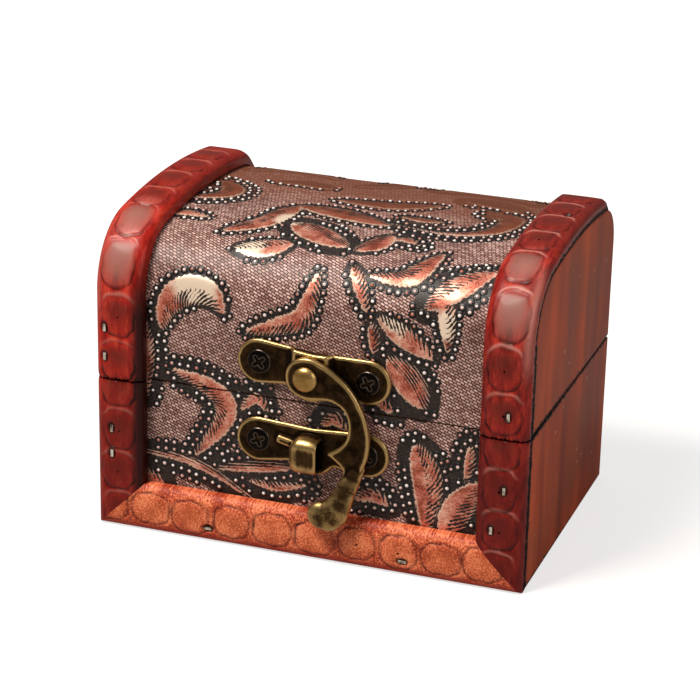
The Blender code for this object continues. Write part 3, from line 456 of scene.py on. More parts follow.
def carve(inward, along, out, centres, evenness):
    """Raise the rounds on a strip; gives the new heights and the marks for the material."""
    lift = np.zeros_like(out)
    marks = {name: np.zeros_like(out) for name in ("groove", "dome", "bead", "rise")}
    for number, centre in enumerate(centres):
        middle = STRIP_WIDTH / 2 + 0.25 * math.sin(number * 2.3)
        reach = ROUND_HALF_LENGTH * (1 + 0.05 * math.sin(number * 1.7))
        breadth = ROUND_HALF_WIDTH * (1 + 0.05 * math.sin(number * 2.9 + 1))
        rise = (along - centre) / reach
        wander = 0.03 * np.sin(along * 2.1 + inward * 1.3 + number)
        radial = (np.abs(rise) ** SQUARENESS
                  + (np.abs(inward - middle) / breadth) ** SQUARENESS) ** (1 / SQUARENESS) + wander
        inside = np.clip(1 - radial ** 2.2, 0, 1)
        # The gouge pressed harder at the foot of a round, and unevenly on its way round
        turn = np.arctan2(rise * reach, inward - middle)
        press = evenness + (1 - evenness) * np.clip(0.5 - 0.9 * rise, 0, 1)
        press = press * (0.72 + 0.28 * np.sin(2 * turn + number * 1.9) * np.cos(5 * turn + number))
        cut = np.exp(-((radial - 1) / GROOVE_SHARE) ** 2) * press
        bead = np.exp(-((radial - BEAD_PLACE) / BEAD_SHARE) ** 2) * np.clip(rise * 2.6 - 1.7, 0, 1)
        lift += ROUND_HEIGHT * inside - GROOVE_DEPTH * cut + BEAD_HEIGHT * bead
        for name, value in (("groove", cut), ("dome", inside), ("bead", bead)):
            marks[name] = np.maximum(marks[name], value)
        marks["rise"] = np.where(radial < 1, rise, marks["rise"])
    crown = np.clip((out - RELIEF_FOOT) / RELIEF_RISE, 0, 1)
    marks["painted_sheen"] = marks["dome"] ** 0.6 * np.exp(-((along - SHEEN_MIDDLE) / SHEEN_REACH) ** 6)
    return out + lift * crown, {name: value * crown for name, value in marks.items()}


def chip(along, across, end):
    """How deep the chipped edge is near a sawn end, in millimetres."""
    ragged = 0.5 + 0.3 * np.sin(across * 2.9 + 1) + 0.3 * np.sin(across * 7.3) + 0.2 * np.sin(across * 13.7 + 2)
    return np.clip(ragged, 0, 1) * np.exp(-np.abs(along - end) / CHIP_REACH)


print("rounds:", 2 * ROUND_HALF_LENGTH, "x", 2 * ROUND_HALF_WIDTH, "mm,", ROUND_HEIGHT, "mm high")


# %% [markdown]
# The small wire brads that hold the strips sit in shallow dimples, where stain has gathered. The
# dimples are part of the strip's relief; the brads are the solids' own.

# %% Brad dimples
BRADS = {name: (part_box(name)[0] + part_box(name)[1]) / 2 / MM for name in frame["nodes"] if name.endswith("brad")}
DIMPLE_DEPTH = 0.50
DIMPLE_ROOM = 0.55
DIMPLE_LIMIT = 2.2


def dimple(places, names):
    """How much each point lies in the dimple round a brad, from 0 to 1."""
    mark = np.zeros(len(places))
    for name in names:
        low, high = [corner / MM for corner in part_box(name)]
        # The head is at the front end of a brad, and on the crown at its top end
        spot = np.array(BRADS[name])
        if name == "lid_right_top_brad":
            spot[2] = high.z
        else:
            spot[1] = low.y
        reach = np.minimum(np.array((high - low) / 2) + DIMPLE_ROOM, DIMPLE_LIMIT)
        mark = np.maximum(mark, np.exp(-np.linalg.norm((places - spot) / reach, axis=1) ** 6))
    return mark


print("brads:", len(BRADS))

# %% Upright strip shape
SEAT_MARGIN = 0.5
CHIP_DEPTH = 0.45
# The painted crack shade beside the end board is lower over the crown: way along it and height there
CRACK_SHADE_WAY = (12, 25)
CRACK_SHADE_HEIGHT = (1.8, 1.45)
CRACK_SHADE_REACH = 0.9
# The painted highlight on the outer arris: how far in it lies and where along the strip
ARRIS_INWARD = 0.8
ARRIS_BREADTH = 0.9
ARRIS_WAY = 23
ARRIS_REACH = 9
ARRIS_FOOT = 1.4


def upright_strip(sign, first, last, centres, evenness, brads, sawn_end):
    """A carved strip on one end of the box, along the outline from first to last."""
    def shape(across, along_share):
        along = first + along_share * (last - first)
        inward, out = strip_section(across)
        carved, marks = carve(inward, along, out, centres, evenness)
        worn = chip(along, inward, sawn_end) * (out > STRIP_SEAT + SEAT_MARGIN)
        carved = carved - worn * CHIP_DEPTH
        y, z = on_loaf(along, carved)
        places = np.stack((sign * (HALF_WIDTH - inward), y, z), axis=1)
        sunk = dimple(places, brads) * (out > STRIP_SEAT + SEAT_MARGIN)
        places[:, 1], places[:, 2] = on_loaf(along, carved - DIMPLE_DEPTH * sunk)
        marks["groove"] = np.clip(np.maximum(marks["groove"], sunk) + worn, 0, 1)
        crack_shade_top = np.interp(along, CRACK_SHADE_WAY, CRACK_SHADE_HEIGHT)
        marks["flank"] = np.clip((crack_shade_top - out) / CRACK_SHADE_REACH, 0, 1) * (inward < 0.1)
        marks["arris_highlight"] = (out > ARRIS_FOOT) * np.exp(
            -((inward - ARRIS_INWARD) / ARRIS_BREADTH) ** 2 - ((along - ARRIS_WAY) / ARRIS_REACH) ** 4)
        marks["way"] = np.stack((inward, along, np.zeros_like(inward)), axis=1) * MM
        return places, marks

    return shaped_tube(SECTION_COLUMNS, round((last - first) / ROW_LENGTH), shape)


print("points along the lid's strips:", round(REAR_WALL / ROW_LENGTH))


# %% [markdown]
# ## Lacquered wood
# The side strips are pine or a like soft wood, stained red and lacquered. To the eye that gives a
# deep uneven red and near-black stain in the grooves. The rounds on the shoulder get a greyish
# painted sheen, the beads and the outer arris a pale painted highlight, and the upper halves of the
# rounds, the inner flank and the foot painted shade. Stain streaks follow the strip, so the pattern
# reads the way along it. Where the strip meets the end board, a ragged line of painted shade stands
# for the crack, with pale chips, on the strip and on the board's side.

# %% Material of the side strips
def crack_shade_with_chips(tree, where, mark, colour):
    """Paint a ragged black line of shade for a crack where a mark is high, with chips of pale wood; gives colour
    and share.
    """
    grit = noise(tree, where, 1.1, 5, Roughness=0.7)
    crack_shade = remap(tree, times(tree, grit, 3.2, mark_of(tree, mark)), (2.15, 2.28))
    rubble = ramp(tree, grit.outputs["Color"], (0.56, "#070302"), (0.61, "#2a1610"), (0.66, "#a8886c"))
    return paint(tree, crack_shade, colour, rubble), crack_shade


def lacquered_strip(name, low, middle, high, inner_shade, worn):
    """Red lacquer from three hex values; the inner flank's painted shade and the painted highlight on beads and
    arris are shares.
    """
    material, tree, where = start_material(name)
    way = mark_of(tree, "way", "Vector")
    across, along, _ = parts_of(tree, way)
    # Stain clouds about 6 mm long and 2 mm wide, streaks about 0.35 mm wide
    clouds = noise(tree, way, (2, 6, 1), 5, Roughness=0.65)
    streaks = noise(tree, way, (0.35, 2.5, 1), 3, Roughness=0.6)
    tone = times(tree, streaks, 0.35, clouds)
    colour = ramp(tree, tone, (0.48, low), (0.66, middle), (0.84, high))
    # The upper half of each round gets painted shade, deeper where the stain clouds are
    upper = remap(tree, mark_of(tree, "rise"), (-0.7, 0.8), (0.10, 0.90))
    upper_shade = times(tree, times(tree, upper, clouds), mark_of(tree, "dome"))
    colour = paint(tree, times(tree, upper_shade, 2.3, clamp=True), colour, "#4c1a10")
    # Towards the foot the strip gets painted shade, and over the crown it turns brown in clouds
    colour = paint(tree, remap(tree, along, (3 * MM, -8 * MM), (0, 0.62)), colour, "#5a0a05")
    crown_browning = times(tree, remap(tree, along, (34 * MM, 48 * MM)), clouds)
    colour = paint(tree, crown_browning, colour, "#6a2216")
    # The beads above the rounds and the outer arris get a pale painted highlight
    bead_highlight = times(tree, mark_of(tree, "bead"), remap(tree, along, (8 * MM, 18 * MM), (0.5 * worn, worn)))
    arris_highlight = times(tree, mark_of(tree, "arris_highlight"), worn * worn)
    colour = paint(tree, reckon(tree, "MAXIMUM", bead_highlight, arris_highlight), colour, "#cc8a7c")
    # Rounds on the shoulder get a greyish painted sheen
    colour = paint(tree, times(tree, mark_of(tree, "painted_sheen"), 0.62), colour, "#a8766a")
    # The grooves are dark, and the inner flank below the crown gets painted shade
    edge = remap(tree, across, (7.0 * MM, 9.4 * MM), (0, inner_shade), smooth=True)
    inner = times(tree, edge, remap(tree, along, (30 * MM, 14 * MM), smooth=True))
    shade = times(tree, mark_of(tree, "groove"), 0.9, inner, clamp=True)
    # Along the edge that meets the end board, a ragged line of painted shade for the crack, with chips of pale wood
    colour, crack_shade = crack_shade_with_chips(tree, where, "flank", paint(tree, shade, colour, "#260302"))
    gloss = remap(tree, clouds, (0.3, 0.7), (0.30, 0.48))
    looks = {"Base Color": colour, "Roughness": times(tree, crack_shade, 0.6, gloss, clamp=True),
             "Specular IOR Level": 0.18, "Coat Weight": 0.08, "Coat Roughness": 0.18}
    # Open pores and brush marks under the lacquer
    return finish_material(material, looks, tone, 0.4, 0.15)


LACQUER_LEFT = lacquered_strip("lacquered_pine_left", "#70100a", "#a81e12", "#c43e2a", 0.97, 0.45)
LACQUER_RIGHT = lacquered_strip("lacquered_pine_right", "#540c08", "#8e1c14", "#b83626", 0.40, 0.75)

# %% [markdown]
# ## The side strips
# The rounds are a little over 9 mm apart. On the lid they run from the seam up and over the crown;
# on the base they start with a cut one, because the box was sawn open after it was carved. The
# lid's strips end at the back in a flat cut, rounded over by a few slices.

# %% Side strips
SEAM_GAP = 0.2
REAR_CORNER = REAR_TOP + math.sqrt((SHOULDERS[1][1] + STRIP_PROUD) ** 2 - SHOULDERS[1][1] ** 2)
MITRE_SLACK = 0.02 * math.sqrt(2)
# For each side: its sign, material, evenness of carving and rear cut, the lid's brads, and the
# middles of the rounds on lid and base
SIDE_STRIPS = {
    "left": (-1, LACQUER_LEFT, 0.12, 3.0, ("upper", "lower"),
             [4.0, 13.6, 23.3, 31.8] + [39.8 + 9.5 * number for number in range(4)],
             [-1.6, -10.9, -20.0, -28.8]),
    "right": (1, LACQUER_RIGHT, 0.35, 6.4, ("front", "top"),
              [4.9 + 9.3 * number for number in range(10)], [-2.2, -10.9, -19.4, -28.2]),
}


def round_rear_end(bm, rear_cut):
    """Slice the rear end at 45 degrees, then take off the corners that this leaves."""
    centre, radius = np.array(ARCS[2][1]), SHOULDERS[1][1] + STRIP_PROUD
    low_corner = np.array([HALF_DEPTH, REAR_CORNER - rear_cut])
    reach = (low_corner - centre).sum() / math.sqrt(2)
    half = math.acos(reach / radius) / 2
    slices = [(math.pi / 4, reach), (math.pi / 4 + half, radius * math.cos(half) - 0.12)]
    for turn in (math.pi / 6, math.pi / 12):
        slices.append((turn, (low_corner - centre) @ (math.cos(turn), math.sin(turn)) - 0.35))
    for turn, distance in slices:
        normal = np.array([0, math.cos(turn), math.sin(turn)])
        slice_off(bm, (0, *centre) + distance * normal, normal)


for side, (sign, lacquer, evenness, rear_cut, ends, lid_rounds, base_rounds) in SIDE_STRIPS.items():
    brads = {"lid": ["lid_" + side + "_" + end + "_brad" for end in ends],
             "base": ["base_" + side + "_" + end + "_brad" for end in ("upper", "lower")]}
    bm = upright_strip(sign, SEAM_GAP, REAR_WALL, lid_rounds, evenness, brads["lid"], SEAM_GAP)
    slice_off(bm, (0, HALF_DEPTH, 0), (0, 1, 0))
    round_rear_end(bm, rear_cut)
    finish_piece(bm, "carved_lid_strip_" + side, "lid", lacquer,
                 ["lid_" + side + "_trim"], sharp=50)
    bm = upright_strip(sign, -SEAM, -SEAM_GAP, base_rounds, evenness, brads["base"], -SEAM_GAP)
    slice_off(bm, (sign * HALF_WIDTH, 0, MITRE_SLACK), (-sign, 0, -1))
    finish_piece(bm, "carved_base_strip_" + side, "base", lacquer,
                 ["base_" + side + "_trim"], sharp=50)

# %% [markdown]
# ## The foot strip
# The strip along the foot faces the lamp and its lacquer has worn matt. It looks orange and
# speckled, as stain does on open pores. It is made like the others, but runs straight.

# %% Material of the foot strip
def foot_strip_wood():
    """Orange stain that has worn matt."""
    material, tree, _ = start_material("stained_foot_strip")
    way = mark_of(tree, "way", "Vector")
    # Pores about 0.4 mm across, stain clouds about 4 mm
    pores = noise(tree, way, 0.4, 3, Roughness=0.7)
    tone = times(tree, noise(tree, way, 4, 4), 0.6, pores)
    colour = ramp(tree, tone, (0.68, "#8e2c14"), (0.80, "#cc5a36"), (0.92, "#f08c60"))
    colour = paint(tree, times(tree, mark_of(tree, "dome"), 0.25), colour, "#f08a52")
    # Redder at the very foot, painted shade on the rounded edge that faces down; dark in the grooves
    foot = remap(tree, parts_of(tree, way)["X"], (2.6 * MM, 0.8 * MM), (0, 0.8), smooth=True)
    colour = paint(tree, foot, colour, "#a8240f")
    shade = times(tree, mark_of(tree, "groove"), 0.95, clamp=True)
    looks = {"Base Color": paint(tree, shade, colour, "#3a0d06"), "Roughness": 0.55,
             "Specular IOR Level": 0.3}
    return finish_material(material, looks, pores, 0.5, 0.12)


# %% Foot strip
FOOT_ROUNDS = [-42.4, -33.4, -24.6, -15.6, -6.8, 2.3, 11.2, 20.0, 28.9, 37.5]
FOOT_EVENNESS = 0.75


def foot_shape(across, along_share):
    """Places and marks of the foot strip."""
    along = (along_share * 2 - 1) * HALF_WIDTH
    up, out = strip_section(across)
    carved, marks = carve(up, along, out, FOOT_ROUNDS, FOOT_EVENNESS)
    places = np.stack((along, -HALF_DEPTH - carved, up), axis=1)
    sunk = dimple(places, ["foot_left_brad", "foot_right_brad"]) * (out > STRIP_SEAT + SEAT_MARGIN)
    places[:, 1] += DIMPLE_DEPTH * sunk
    marks["groove"] = np.maximum(marks["groove"], sunk)
    marks["way"] = np.stack((up, along, np.zeros_like(up)), axis=1) * MM
    return places, marks


bm = shaped_tube(SECTION_COLUMNS, round(2 * HALF_WIDTH / ROW_LENGTH), foot_shape)
for sign in (-1, 1):
    slice_off(bm, (sign * (HALF_WIDTH - MITRE_SLACK), 0, 0), (sign, 0, 1))
finish_piece(bm, "carved_foot_strip", "base", foot_strip_wood(), ["bottom_front_trim"], sharp=50)

# %% [markdown]
# ## Leaves on the leatherette
# The sheet is embossed and printed with foil: curved leaves with hatched halves, each with a
# dark margin and rows of raised pearl dots, on a fine woven ground. A leaf is a bent spine with
# a width that swells and tapers. The spines are listed on the unrolled sheet, in
# millimetres across the box and up from the front seam, and a smooth curve is run through them.

# %% Leaf spines
# Half-width, where it is widest (1 is the middle, above 1 nearer the end), spine points
LEAVES = [
    (2.9, 1.0, [(-32.3, 11.0), (-31.3, 15.6), (-28.4, 19.4), (-24.6, 20.6), (-21.0, 19.6), (-18.6, 16.2)]),
    (0.9, 1.0, [(-36.3, 13.0), (-35.2, 8.0), (-35.0, 3.0), (-35.6, -3.5)]),
    (2.5, 0.9, [(-23.2, 35.4), (-17.0, 41.2), (-14.2, 47.9), (-12.8, 51.9)]),
    (2.4, 1.0, [(-18.6, 30.2), (-12.5, 31.6), (-7.7, 34.0)]),
    (2.4, 1.2, [(-36.2, 49.1), (-30.2, 53.0), (-29.5, 57.0), (-33.5, 62.0)]),
    (1.1, 1.0, [(-36.5, 40.2), (-33.0, 41.2), (-28.6, 40.8)]),
    (1.9, 0.9, [(-14.2, 13.2), (-6.8, 15.7), (-2.6, 17.7), (-0.8, 22.5), (-0.2, 27.6)]),
    (3.2, 1.0, [(-11.0, 42.8), (-4.5, 39.3), (3.0, 35.4)]),
    (2.5, 1.0, [(-13.4, 52.0), (-3.2, 50.5), (8.0, 47.6)]),
    (2.0, 1.0, [(-7.2, 58.6), (4.4, 59.1), (14.3, 63.4)]),
    (2.3, 2.2, [(7.0, 48.9), (20.1, 47.4), (28.5, 51.9), (29.9, 60.1), (24.4, 61.6)]),
    (1.0, 1.0, [(8.4, 53.4), (13.1, 52.8), (17.5, 53.0)]),
    (2.3, 1.0, [(5.4, 34.6), (8.5, 38.2), (10.4, 43.0)]),
    (0.9, 1.0, [(10.9, 41.4), (13.6, 41.8), (16.5, 40.2)]),
    (2.1, 1.2, [(9.8, 28.0), (16.9, 28.4), (20.1, 31.3), (22.6, 37.9)]),
    (1.2, 0.8, [(6.2, 29.8), (8.8, 25.4), (11.0, 20.5)]),
    (2.5, 1.1, [(22.8, 22.8), (27.7, 27.5), (34.8, 33.6)]),
    (1.5, 0.6, [(26.3, 25.0), (27.2, 20.2), (27.6, 14.8)]),
    (2.0, 1.0, [(13.4, 20.0), (18.6, 16.7), (25.2, 13.0)]),
    (2.9, 1.0, [(15.6, 11.6), (19.9, 7.5), (23.0, 2.7)]),
    (2.9, 0.9, [(21.8, -5.6), (24.3, -12.8), (24.4, -24.0)]),
    (2.9, 1.0, [(34.9, -11.3), (30.6, -17.9), (28.0, -24.0)]),
    (0.9, 1.0, [(33.0, -3.6), (32.8, -7.5), (32.2, -11.4)]),
    (1.0, 1.0, [(12.0, 18.6), (12.4, 15.8), (12.6, 12.4)]),
    (1.0, 1.0, [(13.2, 3.3), (15.0, 2.0), (17.0, 0.7)]),
    (2.2, 1.1, [(-30.2, 3.0), (-23.1, 0.9), (-18.4, -2.5), (-19.0, -7.5), (-25.0, -15.4)]),
    (0.7, 1.0, [(-36.6, -16.2), (-28.0, -16.5), (-20.7, -18.6), (-12.3, -23.0)]),
    (1.0, 1.0, [(-15.2, -3.8), (-11.7, -0.8), (-9.6, -3.0)]),
    (1.0, 1.0, [(-20.0, -17.4), (-10.3, -15.5), (-3.5, -14.6)]),
    (0.7, 1.0, [(-13.0, -19.0), (-7.0, -19.4), (-0.8, -18.0)]),
    (1.1, 1.0, [(-37.0, -20.6), (-34.0, -21.8), (-31.9, -22.4)]),
    (1.2, 1.0, [(2.4, -4.4), (5.0, -2.6), (7.2, -4.6)]),
    (1.3, 1.0, [(9.6, -19.0), (13.2, -17.8), (16.8, -19.2)]),
    (1.8, 1.2, [(-24.0, 66.0), (-17.0, 67.4), (-10.6, 66.0)]),
    (1.9, 0.8, [(17.5, 69.9), (23.0, 69.2), (30.0, 66.0)]),
    (2.4, 1.0, [(-33.0, 74.0), (-27.0, 78.8), (-19.0, 79.4), (-13.0, 75.6)]),
    (2.5, 1.1, [(-7.0, 70.6), (-1.0, 75.8), (3.0, 83.0), (2.0, 90.0)]),
    (2.1, 1.0, [(9.0, 76.4), (16.0, 80.0), (24.0, 79.4), (31.0, 75.6)]),
    (2.4, 1.3, [(-30.0, 86.0), (-24.6, 92.4), (-16.0, 94.0), (-9.8, 90.0), (-11.4, 84.6)]),
    (2.2, 0.9, [(12.0, 87.4), (18.0, 93.6), (25.8, 95.4), (33.0, 91.0)]),
    (1.3, 1.0, [(-36.4, 97.6), (-30.6, 101.4), (-24.0, 101.8)]),
    (2.3, 1.0, [(-8.8, 99.8), (-2.0, 103.2), (5.4, 102.4), (10.8, 98.0)]),
    (1.6, 1.0, [(19.4, 101.4), (26.6, 104.4), (34.2, 102.4)]),
    (2.5, 1.1, [(-34.0, 113.0), (-27.0, 117.8), (-21.0, 124.6), (-22.0, 132.0)]),
    (2.2, 0.9, [(-14.0, 116.6), (-7.4, 121.6), (0.6, 122.2), (6.8, 117.6)]),
    (2.4, 1.0, [(-12.0, 136.6), (-6.0, 131.4), (2.0, 130.0), (10.0, 133.4)]),
    (2.3, 1.2, [(33.4, 114.4), (26.6, 117.6), (19.8, 123.6), (18.4, 131.6)]),
    (1.8, 1.0, [(35.4, 124.6), (31.4, 131.4), (25.4, 136.6)]),
    (1.4, 1.0, [(-36.0, 127.4), (-32.8, 132.6), (-30.6, 138.4)]),
]
# Leaves with stripes along them in place of slanted cuts; leaves cut on the other half; leaves with
# two rows of dots round them, which have the wider margin
STRIPED = (7, 8, 19, 26, 28, 36)
CUT_ON_THE_RIGHT = (0, 6, 25)
TWO_ROWS = [number for number, (_, _, points) in enumerate(LEAVES)
            if number % 3 == 1 or sum(v for _, v in points) < 8 * len(points)]
MARGINS = (1.3, 2.9)
print("leaves on the sheet:", len(LEAVES), "with two rows of dots:", len(TWO_ROWS))

# %% [markdown]
# The pattern needs a few measures at any point of the sheet: how far it is from the nearest leaf's
# edge and from the edge of the black margin, how far along and how far to the side of that leaf's
# spine it lies, and where it is between two cuts of the hatching. Each spine is sampled closely,
# and the nearest sample wins. This is done once for the points of the sheet, and the shader draws
# the crisp edges from the smooth distances.

# %% Leaf measures
SPINE_STEP = 0.3
LEAF_REACH = 12
FAR_AWAY = 1e3


def spine_curve(points, count):
    """Places on a smooth curve through the points, and the direction of travel there."""
    knots = np.array(points, float)
    knots = np.vstack((2 * knots[0] - knots[1], knots, 2 * knots[-1] - knots[-2]))
    spans = len(knots) - 3
    share = np.linspace(0, spans - 1e-9, count)
    first = share.astype(int)
    t = (share - first)[:, None]
    a, b, c, d = (knots[first + step] for step in range(4))
    place = 0.5 * (2 * b + (c - a) * t + (2 * a - 5 * b + 4 * c - d) * t ** 2
                   + (3 * b - a - 3 * c + d) * t ** 3)
    travel = np.gradient(place, axis=0)
    return place, travel / np.linalg.norm(travel, axis=1)[:, None]


def way_along(line):
    """Length along a line of points, at each of them."""
    return np.concatenate(([0], np.cumsum(np.linalg.norm(np.diff(line, axis=0), axis=1))))


def leaf_strokes():
    """Every leaf as samples: place, direction, half-width and length so far."""
    strokes = []
    for half_width, lean, points in LEAVES:
        rough = way_along(np.array(points))[-1]
        place, travel = spine_curve(points, max(int(rough / SPINE_STEP), 12))
        width = half_width * np.sin(math.pi * np.linspace(0, 1, len(place)) ** lean) ** 0.75
        strokes.append((place, travel, width, way_along(place)))
    return strokes


STROKES = leaf_strokes()


def leaf_field(points):
    """Signed distances to the nearest leaf's and margin's edges, and that leaf's own measures."""
    nearest = np.full(len(points), FAR_AWAY)
    margin = np.full(len(points), FAR_AWAY)
    feather = np.zeros((len(points), 3))
    for number, (place, travel, width, length) in enumerate(STROKES):
        low, high = place.min(axis=0) - LEAF_REACH, place.max(axis=0) + LEAF_REACH
        close = np.nonzero(((points > low) & (points < high)).all(axis=1))[0]
        if not len(close):
            continue
        offset = points[close][:, None, :] - place[None, :, :]
        gap = np.linalg.norm(offset, axis=2) - width
        best = gap.argmin(axis=1)
        row = np.arange(len(close))
        reach = gap[row, best]
        beside = offset[row, best]
        side = travel[best, 0] * beside[:, 1] - travel[best, 1] * beside[:, 0]
        side *= -1 if number in CUT_ON_THE_RIGHT else 1
        hatch = 1.7 * side + 0.1 * length[best] if number in STRIPED else 1.1 * np.abs(side) + length[best]
        margin[close] = np.minimum(margin[close], reach - MARGINS[number in TWO_ROWS])
        won = reach < nearest[close]
        nearest[close[won]] = reach[won]
        feather[close[won]] = np.stack((length[best], side, hatch), axis=1)[won]
    return nearest, margin, feather


print("samples on the spines:", sum(len(stroke[0]) for stroke in STROKES))

# %% [markdown]
# ## The leatherette sheets
# One sheet wraps the lid from seam to seam, and one covers each wall of the base. The leaf
# faces stand a few hundredths of a millimetre above the ground and the margins lie below it.
# On a few spots the foil gets a pale painted highlight; these spots are listed.

# %% Sheet shape
SHEET_HALF_WIDTH = 40.0
SHEET_CELL = 0.5
MARGIN_LEVEL = -0.22
LEAF_RAISE = 0.20
GROUND_RAISE = 0.03
# Spots of painted highlight on the foil: across, along and size
FOIL_HIGHLIGHT_SPOTS = [(-25.0, 21.5, 6.0), (-16.5, 31.5, 4.5), (-12.0, 44.0, 4.0), (17.0, 21.0, 4.5), (27.3, 20.0, 4.0)]


def sheet_shape(first, last):
    """The shape of a sheet from first to last along the outline."""
    def shape(across, along_share):
        u = (across * 2 - 1) * SHEET_HALF_WIDTH
        v = first + along_share * (last - first)
        nearest, margin, feather = leaf_field(np.stack((u, v), axis=1))
        raised = LEAF_RAISE * np.clip(0.5 - nearest / 0.6, 0, 1) + GROUND_RAISE * np.clip(margin / 0.8, 0, 1)
        places = np.stack((u, *on_loaf(v, MARGIN_LEVEL + raised)), axis=1)
        sheet = np.stack((u, v, np.zeros_like(u)), axis=1) * MM
        # Spots where the foil gets a painted highlight
        rubbed = sum(np.exp(-((u - x) ** 2 + (v - y) ** 2) / size ** 2) for x, y, size in FOIL_HIGHLIGHT_SPOTS)
        return places, {"leaf": nearest, "margin": margin, "rubbed": rubbed, "feather": feather, "sheet": sheet}
    return shape


print("cells across a sheet:", round(2 * SHEET_HALF_WIDTH / SHEET_CELL))


# %% [markdown]
# ## Embossed leatherette
# The sheet is a coated fabric pressed with a hot roller. The eye sees a net of pale pink dashes
# on a wine-brown ground, in rows about half a millimetre apart, smooth copper foil in the leaves,
# and nearly black margins. A brick pattern turned on the slant gives the staggered dashes, and the
# leaf edges are thresholds of the distance on the points, roughened by noise as torn foil is.

# %% Material of the leatherette
def embossed_leatherette():
    """Leatherette with a printed net, foil leaves in black margins and brown painted shade on the crown."""
    material, tree, _ = start_material("foil_printed_leatherette")
    sheet = mark_of(tree, "sheet", "Vector")
    up = parts_of(tree, sheet)["Y"]
    _, side, hatch = parts_of(tree, mark_of(tree, "feather", "Vector"))
    # Ground: dashes 1 mm long in rows 0.56 mm apart, on a slant, unevenly printed
    wobble = noise(tree, sheet, 1.1, 2).outputs["Color"]
    shifted = add_node(tree, "VectorMath", {0: wobble, 1: (0.2 * MM, 0.2 * MM, 0), 2: sheet},
                       operation="MULTIPLY_ADD")
    slanted = add_node(tree, "Mapping", {"Vector": shifted, "Rotation": (0, 0, math.radians(24)),
                                         "Scale": (1 / MM, 1 / MM, 1)})
    net = add_node(tree, "TexBrick", {
        "Vector": slanted, "Color1": tint("#f0c6b8"), "Color2": tint("#9c6c60"), "Mortar": tint("#241212"),
        "Scale": 1.0, "Mortar Size": 0.12, "Mortar Smooth": 0.45, "Bias": 0.0, "Brick Width": 1.00,
        "Row Height": 0.56})
    worn = remap(tree, noise(tree, sheet, 14, 3), (0.35, 0.7), (0, 0.5))
    ground = paint(tree, worn, net, "#80504a", blend_type="MULTIPLY")
    # Hatching: cuts 1 mm apart, deep on one half of the leaf and few on the other
    tear = noise(tree, sheet, 0.8, 4, Roughness=0.65)
    cut = reckon(tree, "PINGPONG", times(tree, tear, 0.9, hatch), 0.5)
    half = remap(tree, side, (-0.5, 0.5), (-0.05, 0.32), smooth=True)
    share = remap(tree, noise(tree, sheet, 2.4, 3), (0.38, 0.60), (0.15, 1.2))
    over = reckon(tree, "SUBTRACT", cut, times(tree, half, share))
    # Leaf edge, torn by about 0.5 mm, with teeth where the cuts run out
    torn = times(tree, tear, 1.6, mark_of(tree, "leaf"))
    toothed = times(tree, times(tree, reckon(tree, "SUBTRACT", 0.27, cut), half), 8.0, torn)
    face = remap(tree, toothed, (0.92, 0.74), smooth=True)
    foil_mask = times(tree, face, remap(tree, over, (-0.03, 0.05), smooth=True))
    # Foil: copper, with painted shade over the crown, where it is browner, a cream painted highlight on a few
    # spots, and paler along the rims
    gleam = noise(tree, sheet, 5, 5, Roughness=0.7)
    mottled = times(tree, noise(tree, sheet, 0.35, 2), 0.45, gleam)
    foil = ramp(tree, mottled, (0.58, "#8a3c28"), (0.72, "#c8705a"), (0.90, "#ecb49c"))
    foil = paint(tree, remap(tree, up, (38 * MM, 54 * MM), (0, 0.8), smooth=True), foil, "#8c4322")
    rim = remap(tree, toothed, (0.35, 0.70), (0, 0.6))
    foil_highlight = remap(tree, times(tree, gleam, 0.9, mark_of(tree, "rubbed")), (0.85, 1.15))
    foil = paint(tree, reckon(tree, "MAXIMUM", rim, foil_highlight), foil, "#f8dfc6")
    # Margin: nearly black, with a few threads of the ground printed through
    shore = times(tree, tear, 0.9, mark_of(tree, "margin"))
    margin = remap(tree, shore, (0.65, 0.25), smooth=True)
    dark = paint(tree, margin, ground, paint(tree, 0.06, "#120f0d", ground))
    printed = paint(tree, foil_mask, dark, foil)
    # Along the back of the crown the whole print gets a brown painted shade
    beyond = reckon(tree, "ABSOLUTE", reckon(tree, "SUBTRACT", up, 73 * MM))
    crown_shade = remap(tree, beyond, (27 * MM, 5 * MM), (0, 0.8), smooth=True)
    # Relief of threads and foil, in shares of 0.1 mm
    weave = times(tree, net.outputs["Fac"], reckon(tree, "SUBTRACT", 1.0, margin))
    raised = times(tree, weave, -0.6, times(tree, foil_mask, 0.8))
    looks = {"Base Color": paint(tree, crown_shade, printed, "#743c22"), "Metallic": times(tree, foil_mask, 0.4),
             "Roughness": remap(tree, foil_mask, (0, 1), (0.46, 0.36)), "Specular IOR Level": 0.35}
    return finish_material(material, looks, raised, 0.6, 0.1)


LEATHERETTE = embossed_leatherette()

# %% [markdown]
# A Solidify step gives each sheet a thickness of 0.45 mm, inwards, which keeps it clear of the
# boards behind it.

